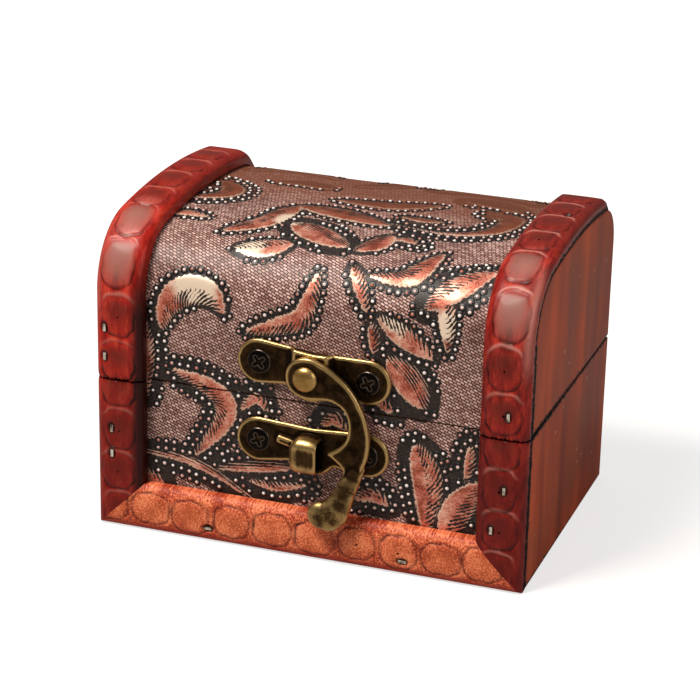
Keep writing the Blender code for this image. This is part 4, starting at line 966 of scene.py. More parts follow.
# %% Leatherette sheets
FOOT_EDGE = 0.3
SHEET_THICKNESS = 0.45
SHEETS = {
    "leatherette_lid": (SEAM_GAP, BACK_SEAM - SEAM_GAP, "lid", "lid_cover"),
    "leatherette_front": (FOOT_EDGE - SEAM, -SEAM_GAP, "base", "base_front_cover"),
    "leatherette_back": (BACK_SEAM + SEAM_GAP, BACK_FOOT - FOOT_EDGE, "base", "base_back_cover"),
}
for name, (first, last, body, node) in SHEETS.items():
    rows = round((last - first) / SHEET_CELL)
    bm = shaped_grid(round(2 * SHEET_HALF_WIDTH / SHEET_CELL), rows, sheet_shape(first, last))
    bm.normal_update()
    middle = min(bm.faces, key=lambda face: abs(face.calc_center_median().x))
    outward = middle.calc_center_median() - Vector((0, 0, 20))
    if middle.normal.dot(outward) < 0:
        bmesh.ops.reverse_faces(bm, faces=bm.faces)
    bm = run_modifier(bm, "SOLIDIFY", thickness=SHEET_THICKNESS, offset=-1)
    finish_piece(bm, name, body, LEATHERETTE, [node], sharp=60)

# %% [markdown]
# ## Pearl dots
# Rows of raised dots run round every leaf, about 1.75 mm apart. The roller presses each dot as a
# small white dome in a black moat with a low rim, so the rows give the black margins their
# scalloped edge. The dots are walked along lines outside each leaf's edge, and left out where
# another leaf or dot is in the way, and along the back of the crown, where hands have rubbed them
# flat. There are many hundreds, so each has only fifty faces.

# %% Pearl places
PEARL_SPACING = 1.75
PEARL_PROFILE = [(0, 0.30), (0.25, 0.23), (0.38, 0.02), (0.50, -0.03), (0.74, 0.04), (0.86, -0.10)]
PEARL_SIDES = 10
ROW_OFFSETS = (1.25, 2.85)
# Least room to a leaf's edge and to the next dot, as shares of the row's offset and the spacing
LEAF_ROOM_SHARE = 0.82
DOT_ROOM_SHARE = 0.8


def row_round_leaf(place, travel, width, offset):
    """Places evenly spaced on a line round one leaf, offset outside its edge."""
    normal = np.stack((-travel[:, 1], travel[:, 0]), axis=1)
    reach = (width + offset)[:, None]
    turn = np.linspace(0, math.pi, 9)[1:-1, None]
    far = place[-1] + offset * (np.cos(turn) * normal[-1] + np.sin(turn) * travel[-1])
    near = place[0] - offset * (np.cos(turn) * normal[0] + np.sin(turn) * travel[0])
    line = np.vstack((place + normal * reach, far, (place - normal * reach)[::-1], near))
    line = np.vstack((line, line[:1]))
    way = way_along(line)
    steps = np.linspace(0, way[-1], max(int(way[-1] / PEARL_SPACING), 4), endpoint=False)
    return np.stack([np.interp(steps, way, column) for column in line.T], axis=1)


def pearl_places():
    """All dots on the unrolled sheet, none crowding another and none on a leaf."""
    kept = []
    for offset in ROW_OFFSETS:
        for number, (place, travel, width, length) in enumerate(STROKES):
            if offset == ROW_OFFSETS[1] and number not in TWO_ROWS:
                continue
            row = row_round_leaf(place, travel, width, offset)
            for spot, gap in zip(row, leaf_field(row)[0]):
                crowded = kept and (np.linalg.norm(np.array(kept) - spot, axis=1).min()
                                    < PEARL_SPACING * DOT_ROOM_SHARE)
                if gap >= offset * LEAF_ROOM_SHARE and not crowded:
                    kept.append(spot + 0.12 * np.sin(spot[::-1] * 3.7 + 1))
    return np.array(kept)


PEARLS = pearl_places()
print("pearl dots:", len(PEARLS))

# %% [markdown]
# ## Pearl print
# The dots carry the same foil as the leaves, but pale and rubbed: a pinkish white, some copper.
# A noise much coarser than a dot tints them a few at a time, and a mark on the points says where
# the dome ends and the black moat begins.

# %% Material of the pearl dots
def pearl_print():
    """Pale foil on the domes, ink in the moats."""
    material, tree, where = start_material("pale_foil_dots")
    spots = noise(tree, where, 2.2, 2)
    foil = ramp(tree, spots, (0.34, "#b8705c"), (0.46, "#e6c2b8"), (0.60, "#fbf0ea"))
    looks = {"Base Color": paint(tree, mark_of(tree, "moat"), foil, "#100d0b"), "Roughness": 0.34,
             "Specular IOR Level": 0.4}
    return finish_material(material, looks, spots, 0.3, 0.1)


PEARL_FOIL = pearl_print()

# %% Pearl dots
PEARL_LOW = -0.14
DOT_HALF = 0.7
FOOT_STRIP_TOP = -21.6
MOAT_START = 0.30
MOAT_EDGE = 0.08
# How far dots reach to the sides beside the strips and on the back, and the bald part of the crown
SIDE_LIMITS = (34.6, 39.0)
BALD = (67, 77)
PEARL_AREAS = {
    "pearl_dots_lid": (DOT_HALF, BACK_SEAM - DOT_HALF, "lid"),
    "pearl_dots_front": (FOOT_STRIP_TOP, -DOT_HALF, "base"),
    "pearl_dots_back": (BACK_SEAM + DOT_HALF, BACK_FOOT - 0.9, "base"),
}


def face_up(bm):
    """Turn all faces round if the highest one looks down."""
    highest = max(bm.faces, key=lambda face: face.calc_center_median().z)
    if highest.normal.z < 0:
        bmesh.ops.reverse_faces(bm, faces=bm.faces)


dot = turned(PEARL_PROFILE, PEARL_SIDES)
face_up(dot)
moat = [min(max((vert.co.to_2d().length - MOAT_START) / MOAT_EDGE, 0), 1) for vert in dot.verts]
dot_mesh = to_mesh(dot)
for name, (first, last, body) in PEARL_AREAS.items():
    bm = bmesh.new()
    for u, v in PEARLS:
        if not first < v < last or abs(u) > SIDE_LIMITS[int(v >= REAR_WALL)] or BALD[0] < v < BALD[1]:
            continue
        y, z = on_loaf(np.array([v, v]), np.array([PEARL_LOW, PEARL_LOW + 1]))
        stand = Vector((0, y[1] - y[0], z[1] - z[0])).to_track_quat("Z", "Y").to_matrix().to_4x4()
        size = Matrix.Scale(1 + 0.1 * math.sin(5 * u + 3 * v), 4)
        copy = dot_mesh.copy()
        copy.transform(Matrix.Translation((u, y[0], z[0])) @ stand @ size)
        bm.from_mesh(copy)
        bpy.data.meshes.remove(copy)
    write_mark(bm, "moat", np.resize(moat, len(bm.verts)))
    finish_piece(bm, name, body, PEARL_FOIL, sharp=80)
bpy.data.meshes.remove(dot_mesh)

# %% [markdown]
# ## End boards
# The two end boards are sawn from one plank and cut through at the seam with the rest. Their
# outline is drawn with a few points and spun arcs, filled, pulled to the board's thickness and
# given softly sanded edges. The arcs are finer than the solid's, so the top edge looks round.

# %% End board shape
BOARD = 5.0
ARC_STEP = math.radians(2.5)


def points_in(geometry):
    """The points among what an operator has made."""
    return [item for item in geometry if isinstance(item, bmesh.types.BMVert)]


def round_edges(bm, edges, width, segments):
    """Bevel these edges round."""
    bmesh.ops.bevel(bm, geom=edges, offset=width, segments=segments, profile=0.5, affect="EDGES",
                    clamp_overlap=True, material=-1)


def sand_edges(bm, width, least_turn=30):
    """Ease all sharp edges by a small round."""
    bmesh.ops.recalc_face_normals(bm, faces=bm.faces)
    sharp = [edge for edge in bm.edges
             if edge.is_manifold and edge.calc_face_angle() > math.radians(least_turn)]
    round_edges(bm, sharp, width, 3)


def fill_and_pull(bm, way):
    """Fill the outline that a bmesh holds and pull the face along a way into a slab."""
    face = bmesh.ops.edgeloop_fill(bm, edges=bm.edges)["faces"]
    made = bmesh.ops.extrude_face_region(bm, geom=face)["geom"]
    bmesh.ops.translate(bm, verts=points_in(made), vec=way)


def lid_end_board(sign):
    """The lid's part of an end board, drawn from the front foot over the loaf to the back foot."""
    bm = bmesh.new()
    x, foot = sign * HALF_WIDTH, SEAM + SEAM_GAP
    start = bm.verts.new((x, -HALF_DEPTH, foot))
    made = bmesh.ops.extrude_vert_indiv(bm, verts=[start])["verts"]
    bmesh.ops.translate(bm, verts=made, vec=(0, 0, FRONT_TOP - foot))
    for _, centre, radius, first, last in ARCS:
        made = points_in(bmesh.ops.spin(
            bm, geom=made, cent=(x, *centre), axis=(-1, 0, 0), angle=first - last,
            steps=max(round((first - last) / ARC_STEP), 3), use_duplicate=False)["geom_last"])
    made = bmesh.ops.extrude_vert_indiv(bm, verts=made)["verts"]
    bmesh.ops.translate(bm, verts=made, vec=(0, 0, foot - REAR_TOP))
    bm.edges.new((start, made[0]))
    fill_and_pull(bm, (-sign * BOARD, 0, 0))
    return bm


def base_end_board(sign):
    """The base's part of an end board."""
    bm = bmesh.new()
    size = (BOARD, 2 * HALF_DEPTH, SEAM - SEAM_GAP)
    middle = (sign * (HALF_WIDTH - BOARD / 2), 0, size[2] / 2)
    bmesh.ops.create_cube(bm, size=1, matrix=Matrix.LocRotScale(middle, None, size))
    return bm


print("end boards:", BOARD, "mm thick")


# %% [markdown]
# Along the strip the boards get the same ragged line of painted shade for the crack, with pale
# chips. An inset of the outer face gives a ring of narrow faces, and a mark that falls from 1 to 0
# across it tells the material where the line runs.

# %% Mark beside the strip
CRACK_SHADE_BREADTH = 0.9
CRACK_SHADE_TOP = FRONT_TOP + 1.0


def mark_front_edge(bm, sign):
    """Mark the upright front rim of a board's outer face, where the strip runs along it."""
    outer = max(bm.faces, key=lambda face: face.calc_area() * face.normal.x * sign)
    bmesh.ops.inset_region(bm, faces=[outer], thickness=CRACK_SHADE_BREADTH, use_even_offset=True)
    inner = set(outer.verts)
    write_mark(bm, "rim", [vert not in inner and vert.co.y < -HALF_DEPTH + 0.5 and vert.co.z < CRACK_SHADE_TOP
                           and vert.co.x * sign > HALF_WIDTH - 0.4 for vert in bm.verts])


print("the broken line ends", round(CRACK_SHADE_TOP, 1), "mm up")


# %% [markdown]
# ## Stained end boards
# The boards have the same stain, brushed on and wiped: a satin brown-red with darker and
# lighter streaks that run upwards, a brownish veil, and pale nicks where the wood shows through.

# %% Material of the end boards
def stained_board():
    """Brown-red stain with nicks, torn at the seam, with a line of painted crack shade and pale chips along the
    strips.
    """
    material, tree, where = start_material("stained_plank")
    # Streaks about 11 mm across and 50 mm tall, grain about 0.5 mm across
    grain = noise(tree, where, (0.5, 0.5, 9), 3, Roughness=0.6)
    tone = times(tree, grain, 0.14, noise(tree, where, (9, 11, 50), 4, Distortion=0.4))
    colour = ramp(tree, tone, (0.40, "#8a341c"), (0.57, "#ae4828"), (0.76, "#d85e34"))
    # A brownish veil of stain that dried on the surface
    veil = remap(tree, noise(tree, where, 20, 3), (0.42, 0.62), (0, 0.38))
    colour = paint(tree, veil, colour, "#84503a")
    # Nicks about 0.7 mm across, some 5 mm apart
    cells = add_node(tree, "TexVoronoi", {"Vector": where, "Scale": 1 / (5 * MM), "Randomness": 1.0})
    nick = remap(tree, times(tree, grain, 0.4, cells.outputs["Distance"]), (0.27, 0.22), (0, 0.85))
    colour = paint(tree, nick, colour, "#d8b094")
    # The saw has torn the edges at the seam: dark splinters, a few pale
    off = reckon(tree, "SUBTRACT", parts_of(tree, where)["Z"], SEAM * MM)
    splinters = noise(tree, where, 0.9, 4, Roughness=0.7)
    reach = remap(tree, splinters, (0.42, 0.68), (0.25 * MM, 1.5 * MM))
    torn = times(tree, reckon(tree, "LESS_THAN", reckon(tree, "ABSOLUTE", off), reach), 0.85)
    chips = ramp(tree, splinters.outputs["Color"], (0.50, "#1c0c07"), (0.60, "#3a1c10"), (0.67, "#a08064"))
    # Beside the strip, a ragged line of painted shade for the crack, with chips of pale wood
    colour, _ = crack_shade_with_chips(tree, where, "rim", paint(tree, torn, colour, chips))
    looks = {"Base Color": colour, "Roughness": remap(tree, tone, (0.4, 0.9), (0.48, 0.62)),
             "Specular IOR Level": 0.2}
    return finish_material(material, looks, tone, 0.3, 0.15)


STAINED_PLANK = stained_board()

# %% End boards
BOARD_EASE = 0.3
for side, sign in (("left", -1), ("right", 1)):
    for body, shape in (("lid", lid_end_board), ("base", base_end_board)):
        bm = shape(sign)
        sand_edges(bm, BOARD_EASE)
        mark_front_edge(bm, sign)
        finish_piece(bm, body + "_end_board_" + side, body, STAINED_PLANK,
                     [body + "_" + side + "_end_panel"])

# %% [markdown]
# ## Boards inside
# Inside, the thin boards are bare softwood with a thin brown wash. The straight ones keep the
# solid's form: a copy is merged, so that its long edges can be sanded round. The bent top board
# is drawn again with finer arcs, so it looks round when the lid is open.

# %% Material of the inner boards
def washed_softwood():
    """Bare softwood with a thin brown wash."""
    material, tree, where = start_material("washed_softwood")
    # Grain lines run across the box, about 0.9 mm apart, broken every 30 mm
    grain = noise(tree, where, (30, 0.9, 0.9), 4, Distortion=0.6)
    tone = times(tree, noise(tree, where, 16, 2), 0.4, grain)
    wood = ramp(tree, tone, (0.45, "#6b4128"), (0.66, "#a06b45"), (0.88, "#c89468"))
    return finish_material(material, {"Base Color": wood, "Roughness": 0.68}, grain, 0.4, 0.15)


SOFTWOOD = washed_softwood()

# %% Straight inner boards
INNER_EASE = 0.25


def merged_copy(node):
    """A solid's mesh in millimetres, merged, with its flat sides whole."""
    bm = bmesh.new()
    bm.from_mesh(frame["nodes"][node].data)
    bm.transform(Matrix.Scale(1 / MM, 4))
    bmesh.ops.remove_doubles(bm, verts=bm.verts, dist=0.002)
    bmesh.ops.dissolve_limit(bm, angle_limit=math.radians(1), verts=bm.verts, edges=bm.edges)
    return bm


for node in ("base_front_board", "base_back_board", "bottom_board", "lid_front_board", "lid_back_board"):
    bm = merged_copy(node)
    round_edges(bm, [edge for edge in bm.edges if edge.is_manifold and edge.calc_length() > 8
                     and edge.calc_face_angle() > math.radians(60)], INNER_EASE, 2)
    finish_piece(bm, node + "_inside", node.split("_")[0].replace("bottom", "base"), SOFTWOOD,
                 [node], sharp=35)

# %% Bent top board
TOP_BOARD_INSET = 1.0
TOP_BOARD_THICKNESS = 4.0


def top_board_shape(across, along_share):
    """The outer face of the bent board, from shoulder to shoulder."""
    y, z = on_loaf(FRONT_WALL + along_share * (REAR_WALL - FRONT_WALL), -TOP_BOARD_INSET)
    return np.stack(((across * 2 - 1) * SHEET_HALF_WIDTH, y, z), axis=1), {}


bm = shaped_grid(8, 120, top_board_shape)
bmesh.ops.recalc_face_normals(bm, faces=bm.faces)
face_up(bm)
bm = run_modifier(bm, "SOLIDIFY", thickness=TOP_BOARD_THICKNESS, offset=-1)
finish_piece(bm, "bent_top_board", "lid", SOFTWOOD, ["lid_top_board"], sharp=40)

# %% [markdown]
# ## The latch plates
# Both plates are pressed from one pattern: a lobe for each screw and a round belly between
# them. The outline is spun arc by arc from single points, filled and pulled to its thickness.
# Pressing rounds every edge, so the rims are bevelled generously, and the shape is then remeshed
# and smoothed, which blends the bridge and the hood into the plate as a press does.

# %% Plate blank
PLATE_THICKNESS = 1.0
PLATE_SEAT = 0.2
PLATE_RIM = 0.42
LOBE = 4.7
SCREW_SPREAD = 11.4
BELLY = 5.6
BELLY_DROP = 0.4
BELLY_HALF_ANGLE = 0.95
WAIST_DROP = 0.7


def spin_on(bm, vert, centre, angle, steps):
    """Carry a point round an arc in the plate's own plane and give the last point."""
    made = bmesh.ops.spin(bm, geom=[vert], cent=(*centre, 0), axis=(0, 0, 1), angle=angle, steps=steps,
                          use_duplicate=False)["geom_last"]
    return points_in(made)[0]


def plate_blank():
    """A flat plate lying in XY, its back at height zero."""
    bm = bmesh.new()
    top_left = bm.verts.new((-SCREW_SPREAD, LOBE, 0))
    low_left = spin_on(bm, top_left, (-SCREW_SPREAD, 0), math.pi, 20)
    belly_turn = -math.pi / 2 - BELLY_HALF_ANGLE
    belly = bm.verts.new((BELLY * math.cos(belly_turn), BELLY * math.sin(belly_turn) - BELLY_DROP, 0))
    bm.edges.new((low_left, belly))
    belly_end = spin_on(bm, belly, (0, -BELLY_DROP), 2 * BELLY_HALF_ANGLE, 14)
    low_right = bm.verts.new((SCREW_SPREAD, -LOBE, 0))
    bm.edges.new((belly_end, low_right))
    top_right = spin_on(bm, low_right, (SCREW_SPREAD, 0), math.pi, 20)
    waist = bm.verts.new((0, LOBE - WAIST_DROP, 0))
    bm.edges.new((top_right, waist))
    bm.edges.new((waist, top_left))
    bmesh.ops.remove_doubles(bm, verts=bm.verts, dist=WELD)
    fill_and_pull(bm, (0, 0, PLATE_THICKNESS))
    sand_edges(bm, PLATE_RIM)
    return bm


print("plate blank points:", len(plate_blank().verts))

# %% [markdown]
# Wear follows shape: hands rub the patina off edges and high places and leave it in hollows. How
# strongly a surface bends outwards can be read from its normals, so a helper writes that on the
# points, and the brass shader turns it into bright edges.

# %% Remesh and wear helpers
PRESS_GRAIN = 0.12
PRESS_ROUNDS = 16
PRESS_BEND = 0.65


def pressed(bm, grain=PRESS_GRAIN, rounds=PRESS_ROUNDS, full_bend=PRESS_BEND):
    """Remesh a shape finely, smooth it as pressing and tumbling do, and mark its wear."""
    bm = run_modifier(bm, "REMESH", mode="VOXEL", voxel_size=grain)
    for _ in range(rounds):
        bmesh.ops.smooth_vert(bm, verts=bm.verts, factor=0.5, use_axis_x=True, use_axis_y=True,
                              use_axis_z=True)
    mark_wear(bm, full_bend)
    return bm


def mark_wear(bm, full_bend):
    """Write on each point how strongly the surface bends outwards there, from 0 to 1."""
    bm.normal_update()
    bm.verts.index_update()
    place = np.array([vert.co[:] for vert in bm.verts])
    normal = np.array([vert.normal[:] for vert in bm.verts])
    one, other = np.array([[vert.index for vert in edge.verts] for edge in bm.edges]).T
    step = place[other] - place[one]
    bend = ((normal[other] - normal[one]) * step).sum(axis=1) / np.maximum((step ** 2).sum(axis=1), 1e-6)
    count = np.bincount(np.concatenate((one, other)), minlength=len(place))

    def gather(near, weights):
        return np.bincount(near, weights=weights, minlength=len(place))

    value = (gather(one, bend) + gather(other, bend)) / np.maximum(count, 1)
    for _ in range(3):
        total = value * count + gather(one, value[other]) + gather(other, value[one])
        value = total / np.maximum(2 * count, 1)
    write_mark(bm, "wear", np.clip(value / full_bend, -1, 1))


def mark_handled(bm, height, amount):
    """Add wear to what stands out further than a height, where fingers and the hook rub."""
    layer = bm.verts.layers.float["wear"]
    for vert in bm.verts:
        vert[layer] += amount * min(max(vert.co.z - height, 0), 1)


print("pressed pieces are remeshed at", PRESS_GRAIN, "mm")


# %% [markdown]
# ## Antique brass
# The fittings are steel or zinc plated with brass and darkened: a dark olive-brown film, rubbed
# to bright yellow brass on rims and domes. It is a metal, so its IOR stays as it is, and its
# colour is all in the reflection. Fine tumbling marks break the gloss.

# %% Material of the latch
def antique_brass(name, film, rubbed, bright, shift):
    """Brass from three hex values; shift sets how much of it is rubbed."""
    material, tree, where = start_material(name)
    # Cloudy film about 2.5 mm across, tumbling marks about 0.25 mm
    clouds = noise(tree, where, 2.5, 5, Roughness=0.65)
    tone = times(tree, clouds, 0.9, mark_of(tree, "wear"))
    level = remap(tree, tone, (0.25 - shift, 1.15 - shift))
    looks = {"Base Color": ramp(tree, level, (0.12, film), (0.50, rubbed), (0.92, bright)),
             "Roughness": remap(tree, level, (0, 1), (0.48, 0.34)), "Metallic": 1.0}
    relief = times(tree, noise(tree, where, 0.25, 3), 0.3, clouds)
    return finish_material(material, looks, relief, 0.25, 0.12)


BRASS = antique_brass("antique_brass_plate", "#20160d", "#4e3922", "#c0a068", 0.0)
BRASS_RUBBED = antique_brass("antique_brass_rubbed", "#5c4222", "#96723c", "#c8a264", 0.10)

# %% [markdown]
# ## The latch plate
# Its middle is pressed out by 1.1 mm into a bridge that carries the hook's rivet. The blank is
# sliced finely along the ramps first, so that there are points to lift; the press draws the metal
# down again at the bridge's edges, so only the front is lifted.

# %% Latch plate
FACING_FRONT = Matrix.Rotation(math.pi / 2, 4, "X")
HOOK_SEAT = Matrix.Translation((0.1, -HALF_DEPTH, 39.1)) @ FACING_FRONT
LATCH_SEAT = Matrix.Translation((0.1, -HALF_DEPTH, 39.1)) @ Matrix.Rotation(0.055, 4, "Y") @ FACING_FRONT
KEEPER_SEAT = Matrix.Translation((0.7, -HALF_DEPTH, 23.6)) @ FACING_FRONT
PLATE_SHIFT = 0.6
BRIDGE_HALF = 4.7
BRIDGE_RAMP = 1.5
BRIDGE_RAISE = 1.1


def eased(value):
    """A share from 0 to 1 with soft ends."""
    share = min(max(value, 0), 1)
    return share * share * (3 - 2 * share)


bm = plate_blank()
bmesh.ops.translate(bm, verts=bm.verts, vec=(PLATE_SHIFT, PLATE_SHIFT, PLATE_SEAT))
for x in np.linspace(-BRIDGE_HALF, BRIDGE_HALF, 33):
    bisect(bm, (x, 0, 0), (1, 0, 0))
for vert in bm.verts:
    if vert.co.z > PLATE_SEAT + PLATE_THICKNESS / 2:
        vert.co.z += BRIDGE_RAISE * eased((BRIDGE_HALF - abs(vert.co.x)) / BRIDGE_RAMP)
bmesh.ops.triangulate(bm, faces=bm.faces)
finish_piece(pressed(bm), "pressed_latch_plate", "lid", BRASS, ["latch_plate"], sharp=80,
             place=LATCH_SEAT)

# %% [markdown]
# ## The keeper
# The lower plate has a hood pressed out of it, open on the right, where the hook's nose goes in,
# and a short raised rib on its left. The hood is a box with one side taken off and walls 0.5 mm
# thick; it is remeshed together with the plate, so that they become one.

# %% Keeper
HOOD_LEFT = -4.15
HOOD_WIDTH = 6.3
HOOD_LOW = -4.8
HOOD_HEIGHT = 7.6
HOOD_BACK = 0.7
HOOD_FRONT = 5.1
HOOD_WALL = 0.5
HOOD_ROUND = 2.0
# How far the dome falls off at its sides: its top edge downwards, its front backwards, and the
# share of this on the right, where the nose goes in
DOME_DROP = 1.7
DOME_DEPTH = 0.7
DOME_RIGHT_SHARE = 0.35
RIB_PLACE = (HOOD_LEFT - 1.4, 0.75, 1.45)
RIB_SIZE = (3.6, 1.8, 1.5)
RIB_TURN = -0.22


def keeper_hood():
    """The hood: a box without back and right side, rounded, domed like a thumb and given walls."""
    bm = bmesh.new()
    middle = (HOOD_LEFT + HOOD_WIDTH / 2, HOOD_LOW + HOOD_HEIGHT / 2, (HOOD_FRONT + HOOD_BACK) / 2)
    size = (HOOD_WIDTH, HOOD_HEIGHT, HOOD_FRONT - HOOD_BACK)
    bmesh.ops.create_cube(bm, size=1, matrix=Matrix.LocRotScale(middle, None, size))
    gone = [face for face in bm.faces if face.normal.x > 0.5 or face.normal.z < -0.5]
    bmesh.ops.delete(bm, geom=gone, context="FACES_ONLY")
    round_edges(bm, [edge for edge in bm.edges if not edge.is_boundary], HOOD_ROUND, 7)
    for share in np.linspace(-0.8, 0.8, 7):
        bisect(bm, (middle[0] + share * HOOD_WIDTH / 2, 0, 0), (1, 0, 0))
    for vert in bm.verts:
        beside = (vert.co.x - middle[0]) / (HOOD_WIDTH / 2)
        fall = abs(beside) ** 2.5 * (DOME_RIGHT_SHARE if beside > 0 else 1)
        raised = max(vert.co.y - middle[1], 0) / (HOOD_HEIGHT / 2)
        vert.co.y -= DOME_DROP * raised * fall
        vert.co.z -= DOME_DEPTH * fall * (vert.co.z / HOOD_FRONT)
    bmesh.ops.recalc_face_normals(bm, faces=bm.faces)
    face_up(bm)
    return run_modifier(bm, "SOLIDIFY", thickness=HOOD_WALL, offset=-1)


def join(*shapes):
    """Put several bmeshes into one."""
    whole = bmesh.new()
    for shape in shapes:
        mesh = to_mesh(shape)
        whole.from_mesh(mesh)
        bpy.data.meshes.remove(mesh)
    return whole


plate = plate_blank()
bmesh.ops.translate(plate, verts=plate.verts, vec=(0, 0, PLATE_SEAT))
rib = bmesh.new()
bmesh.ops.create_cube(rib, size=1, matrix=Matrix.Translation(RIB_PLACE) @ Matrix.Rotation(RIB_TURN, 4, "Z")
                      @ Matrix.Diagonal((*RIB_SIZE, 1)))
sand_edges(rib, 0.5)
bm = pressed(join(plate, keeper_hood(), rib))
mark_handled(bm, 2.4, 0.13)
finish_piece(bm, "pressed_keeper", "base", BRASS, ["keeper_plate"], sharp=80,
             place=KEEPER_SEAT)

# %% [markdown]
# ## The hook
# The hook is a crescent: a ring round the rivet, a nose that points into the keeper, and a tail
# that bends towards the hand and ends in a thick knob. A smooth cyclic curve through the
# outline's points is filled and given rounded rims. The tail is bent by moving points and swells
# through a close row of flattened spheres to the knob, and remeshing lets them flow together as in
# a casting.

# %% Hook outline
HOOK_REACH = 27.8
HOOK_THICKNESS = 1.5
HOOK_BACK = 2.5
HOOK_RIM = 0.5
BEND_START = 0.68
BEND = 2.1
HOOK_SHARES = [
    (0.000, 0.155), (0.100, 0.130), (0.216, 0.065), (0.331, -0.032), (0.424, -0.180), (0.475, -0.335),
    (0.478, -0.511), (0.432, -0.648), (0.388, -0.773), (0.360, -0.890), (0.300, -0.990), (0.190, -1.040),
    (0.120, -0.990), (0.180, -0.930), (0.215, -0.870), (0.253, -0.800), (0.285, -0.710), (0.288, -0.655),
    (0.235, -0.600), (0.162, -0.550), (0.238, -0.500), (0.299, -0.435), (0.320, -0.360), (0.317, -0.266),
    (0.270, -0.187), (0.185, -0.148), (0.080, -0.152), (0.000, -0.158), (-0.110, -0.110), (-0.155, 0.000),
    (-0.110, 0.110)]
NOSE = 19
# Along the tail to the knob: x and y as shares of the reach, then lift, half-width, half-thickness
TAIL = np.array([(0.385, -0.62, 0.0, 1.9, 0.7), (0.355, -0.72, 0.2, 1.9, 1.1), (0.320, -0.81, 0.8, 2.1, 1.4),
                 (0.290, -0.89, 1.5, 2.5, 1.6), (0.255, -0.96, 2.0, 3.0, 1.75), (0.205, -1.00, 2.1, 3.2, 1.75),
                 (0.150, -1.00, 2.1, 2.9, 1.6)])


def curve_plate(points, corner, thickness, rim):
    """A flat plate from a smooth closed curve, its edges rounded, centred on height zero."""
    curve = bpy.data.curves.new("work", "CURVE")
    curve.dimensions = "2D"
    curve.fill_mode = "BOTH"
    curve.extrude = thickness / 2 - rim
    curve.bevel_depth = rim
    curve.bevel_resolution = 3
    curve.offset = -rim
    spline = curve.splines.new("BEZIER")
    spline.bezier_points.add(len(points) - 1)
    spline.resolution_u = 8
    spline.use_cyclic_u = True
    for index, (point, (x, y)) in enumerate(zip(spline.bezier_points, points)):
        point.co = (x, y, 0)
        point.handle_left_type = "VECTOR" if index == corner else "AUTO"
        point.handle_right_type = point.handle_left_type
    guide = add_object("work", curve)
    mesh = bpy.data.meshes.new_from_object(guide.evaluated_get(bpy.context.evaluated_depsgraph_get()))
    bpy.data.objects.remove(guide)
    bpy.data.curves.remove(curve)
    bm = bmesh.new()
    bm.from_mesh(mesh)
    bpy.data.meshes.remove(mesh)
    bmesh.ops.remove_doubles(bm, verts=bm.verts, dist=0.005)
    bmesh.ops.recalc_face_normals(bm, faces=bm.faces)
    return bm


print("hook outline points:", len(HOOK_SHARES))


# %% Hook
hook = curve_plate([(x * HOOK_REACH, y * HOOK_REACH) for x, y in HOOK_SHARES], NOSE, HOOK_THICKNESS, HOOK_RIM)
for share in np.linspace(BEND_START, 1.0, 14):
    bisect(hook, (0, -share * HOOK_REACH, 0), (0, 1, 0))
for vert in hook.verts:
    vert.co.z += BEND * eased((-BEND_START * HOOK_REACH - vert.co.y) / ((1 - BEND_START) * HOOK_REACH))
swells = bmesh.new()
for step in np.linspace(0, len(TAIL) - 1, 43):
    x, y, lift, breadth, depth = [np.interp(step, range(len(TAIL)), column) for column in TAIL.T]
    bmesh.ops.create_uvsphere(swells, u_segments=28, v_segments=18, radius=1, matrix=Matrix.LocRotScale(
        (x * HOOK_REACH, y * HOOK_REACH, lift), None, (breadth, breadth, depth)))
bm = join(hook, swells)
bmesh.ops.translate(bm, verts=bm.verts, vec=(0, 0, HOOK_BACK + HOOK_THICKNESS / 2))
bmesh.ops.triangulate(bm, faces=bm.faces)
bm = pressed(bm, 0.13, 12)
mark_handled(bm, HOOK_BACK + HOOK_THICKNESS + 1.4, 0.08)
finish_piece(bm, "crescent_hook", "hook", BRASS, ["latch_hook"], sharp=80, place=HOOK_SEAT)

# %% [markdown]
# ## Rivet and screws
# The rivet is a plain turned dome. A screw has an oval head with a cross recess, which a Boolean
# step takes out, and it has been blackened.

# %% Rivet
RIVET_TAIL = [(1.1, 4.15), (1.1, 1.15), (1.8, 1.15), (1.8, 0.55), (0, 0.55)]
rivet = turned(arc_of_profile(2.6, 1.3, 4.15, 12) + RIVET_TAIL)
mark_wear(rivet, 0.9)
finish_piece(rivet, "domed_rivet", "lid", BRASS_RUBBED, ["hook_rivet"], place=LATCH_SEAT)

# %% [markdown]
# ## Blackened screws
# Blackened steel is nearly black with a soft sheen; the rims of the recess and of the head are
# rubbed a little brighter.

# %% Material of the screws
def blackened_steel():
    """Blackened steel, brighter where it is worn."""
    material, tree, where = start_material("blackened_steel")
    dust = noise(tree, where, 0.5, 4)
    tone = times(tree, dust, 0.5, mark_of(tree, "wear"))
    looks = {"Base Color": ramp(tree, tone, (0.15, "#0e0c0b"), (0.60, "#221d1a"), (1.0, "#5c524a")),
             "Metallic": 1.0, "Roughness": 0.30}
    return finish_material(material, looks, dust, 0.2, 0.08)


BLACK_STEEL = blackened_steel()

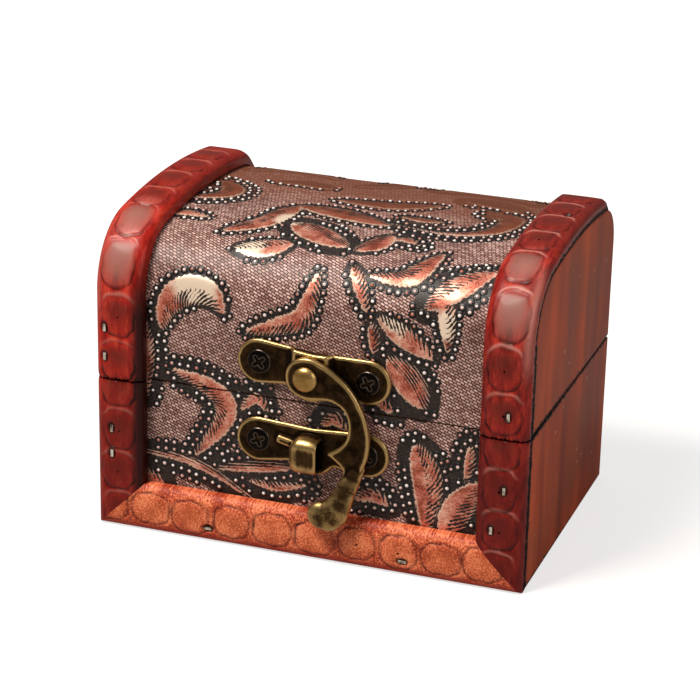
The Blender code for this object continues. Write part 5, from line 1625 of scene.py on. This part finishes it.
# %% Screws
SCREW_RIM = PLATE_SEAT + PLATE_THICKNESS - 0.2
SCREW_SHANK = [(2.5, 0), (1.0, -1.3), (1.0, -3.6), (0, -4.8)]
RECESS_SIZE = (2.8, 0.55, 2.2)
RECESS_MIDDLE = 0.7
SCREWS = {
    "latch_left": ((PLATE_SHIFT - SCREW_SPREAD, PLATE_SHIFT), 0.70, LATCH_SEAT, "lid"),
    "latch_right": ((PLATE_SHIFT + SCREW_SPREAD, PLATE_SHIFT), 0.55, LATCH_SEAT, "lid"),
    "keeper_left": ((-SCREW_SPREAD, 0), 0.42, KEEPER_SEAT, "base"),
    "keeper_right": ((SCREW_SPREAD, 0), 0.95, KEEPER_SEAT, "base"),
}
for label, ((x, y), turn, seat, body) in SCREWS.items():
    bm = turned(arc_of_profile(2.5, 0.5, 0.2, 10) + SCREW_SHANK, 48)
    cross = bmesh.new()
    for quarter in (0, math.pi / 2):
        lie = Matrix.LocRotScale((0, 0, RECESS_MIDDLE), None, RECESS_SIZE)
        bmesh.ops.create_cube(cross, size=1, matrix=Matrix.Rotation(quarter, 4, "Z") @ lie)
    cutter_mesh = to_mesh(cross, "work_cross")
    cutter = add_object("work_cross", cutter_mesh)
    bm = run_modifier(bm, "BOOLEAN", operation="DIFFERENCE", object=cutter, solver="EXACT", use_self=True)
    bpy.data.objects.remove(cutter)
    bpy.data.meshes.remove(cutter_mesh)
    stand = Matrix.Translation((x, y, SCREW_RIM)) @ Matrix.Rotation(turn, 4, "Z")
    finish_piece(pressed(bm, 0.09, 3, 1.6), "cross_screw_" + label, body, BLACK_STEEL,
                 [label + "_screw"], sharp=35, place=seat @ stand)

# %% [markdown]
# ## Hinges and brads
# The hinges at the back and the wire brads keep their solids' shapes, which are already right.
# They are copied and merged so that they can be shaded smoothly, and given their metals.

# %% Material of the brads
def bright_wire():
    """Scuffed bright steel."""
    material, tree, where = start_material("bright_steel_wire")
    scuffs = noise(tree, where, 1.2, 2)
    looks = {"Base Color": ramp(tree, scuffs, (0.34, "#5e564a"), (0.48, "#b4aa9a"), (0.60, "#f4ecde")),
             "Metallic": 1.0, "Roughness": 0.32}
    return finish_material(material, looks, scuffs, 0.3, 0.1)


BRIGHT_WIRE = bright_wire()

# %% Hinges and brads
for node, solid in frame["nodes"].items():
    if "hinge" in node:
        bm = merged_copy(node)
        if node.endswith("leaf"):
            sand_edges(bm, 0.12, 50)
        mark_wear(bm, 2.5)
        finish_piece(bm, node + "_brass", solid["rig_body"], BRASS, [node], sharp=35)
    elif node in BRADS:
        finish_piece(merged_copy(node), node + "_wire", solid["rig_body"], BRIGHT_WIRE, [node],
                     sharp=30)

# %% [markdown]
# ## Floor and light
# The box stands on a plain sweep. The floor's own colour is a light grey, so that it throws little
# light back up at the front of the box, and rays that come straight from the camera see it lifted,
# more so further out, so that it reads as white while the soft shadow under the box stays. A big
# soft lamp stands high to the front left, a weak one fills from the right, a third hangs above and
# behind, and the rest is an even dim surround.

# %% Floor
def white_sweep():
    """Grey paper that the camera sees as white."""
    material, tree, where = start_material("white_sweep")
    paper = ramp(tree, noise(tree, where, 3, 2), (0.0, "#a6a3a0"), (1.0, "#aeaba8"))
    far = add_node(tree, "VectorMath", {0: where}, operation="LENGTH").outputs["Value"]
    seen = add_node(tree, "LightPath").outputs["Is Camera Ray"]
    lift = times(tree, seen, remap(tree, far, (0.08, 0.40), (0.68, 0.98)))
    return finish_material(material, {"Base Color": paper, "Roughness": 0.9, "Emission Color": (1, 1, 1, 1),
                                      "Emission Strength": lift})


bm = bmesh.new()
bmesh.ops.create_grid(bm, x_segments=2, y_segments=2, size=3)
floor_mesh = to_mesh(bm, "sweep")
floor_mesh.materials.append(white_sweep())
floor = add_object("sweep", floor_mesh)
floor.location.z = -0.00005

# %% Lights
def soft_lamp(name, place, aim, size, watts, colour):
    """A square area lamp at a place, turned to what it aims at."""
    lamp = bpy.data.lights.new(name, "AREA")
    lamp.shape = "SQUARE"
    lamp.size = size
    lamp.energy = watts
    lamp.color = tint(colour)[:3]
    stand = add_object(name, lamp)
    stand.location = place
    stand.rotation_euler = (Vector(aim) - Vector(place)).to_track_quat("-Z", "Y").to_euler()


soft_lamp("key_lamp", (-0.30, -0.38, 0.80), (0, 0, 0.03), 0.30, 10.0, "#fff8f0")
soft_lamp("fill_lamp", (0.75, -0.35, 0.40), (0, 0, 0.03), 0.45, 1.6, "#ffffff")
soft_lamp("top_lamp", (0.05, 0.25, 0.80), (0, 0, 0.05), 0.50, 1.0, "#ffffff")

world = bpy.data.worlds.new("white_surround")
bpy.context.scene.world = world
world.use_nodes = True
world.node_tree.nodes["Background"].inputs["Color"].default_value = (1, 1, 1, 1)
world.node_tree.nodes["Background"].inputs["Strength"].default_value = 0.14
print("lamps:", len(bpy.data.lights))
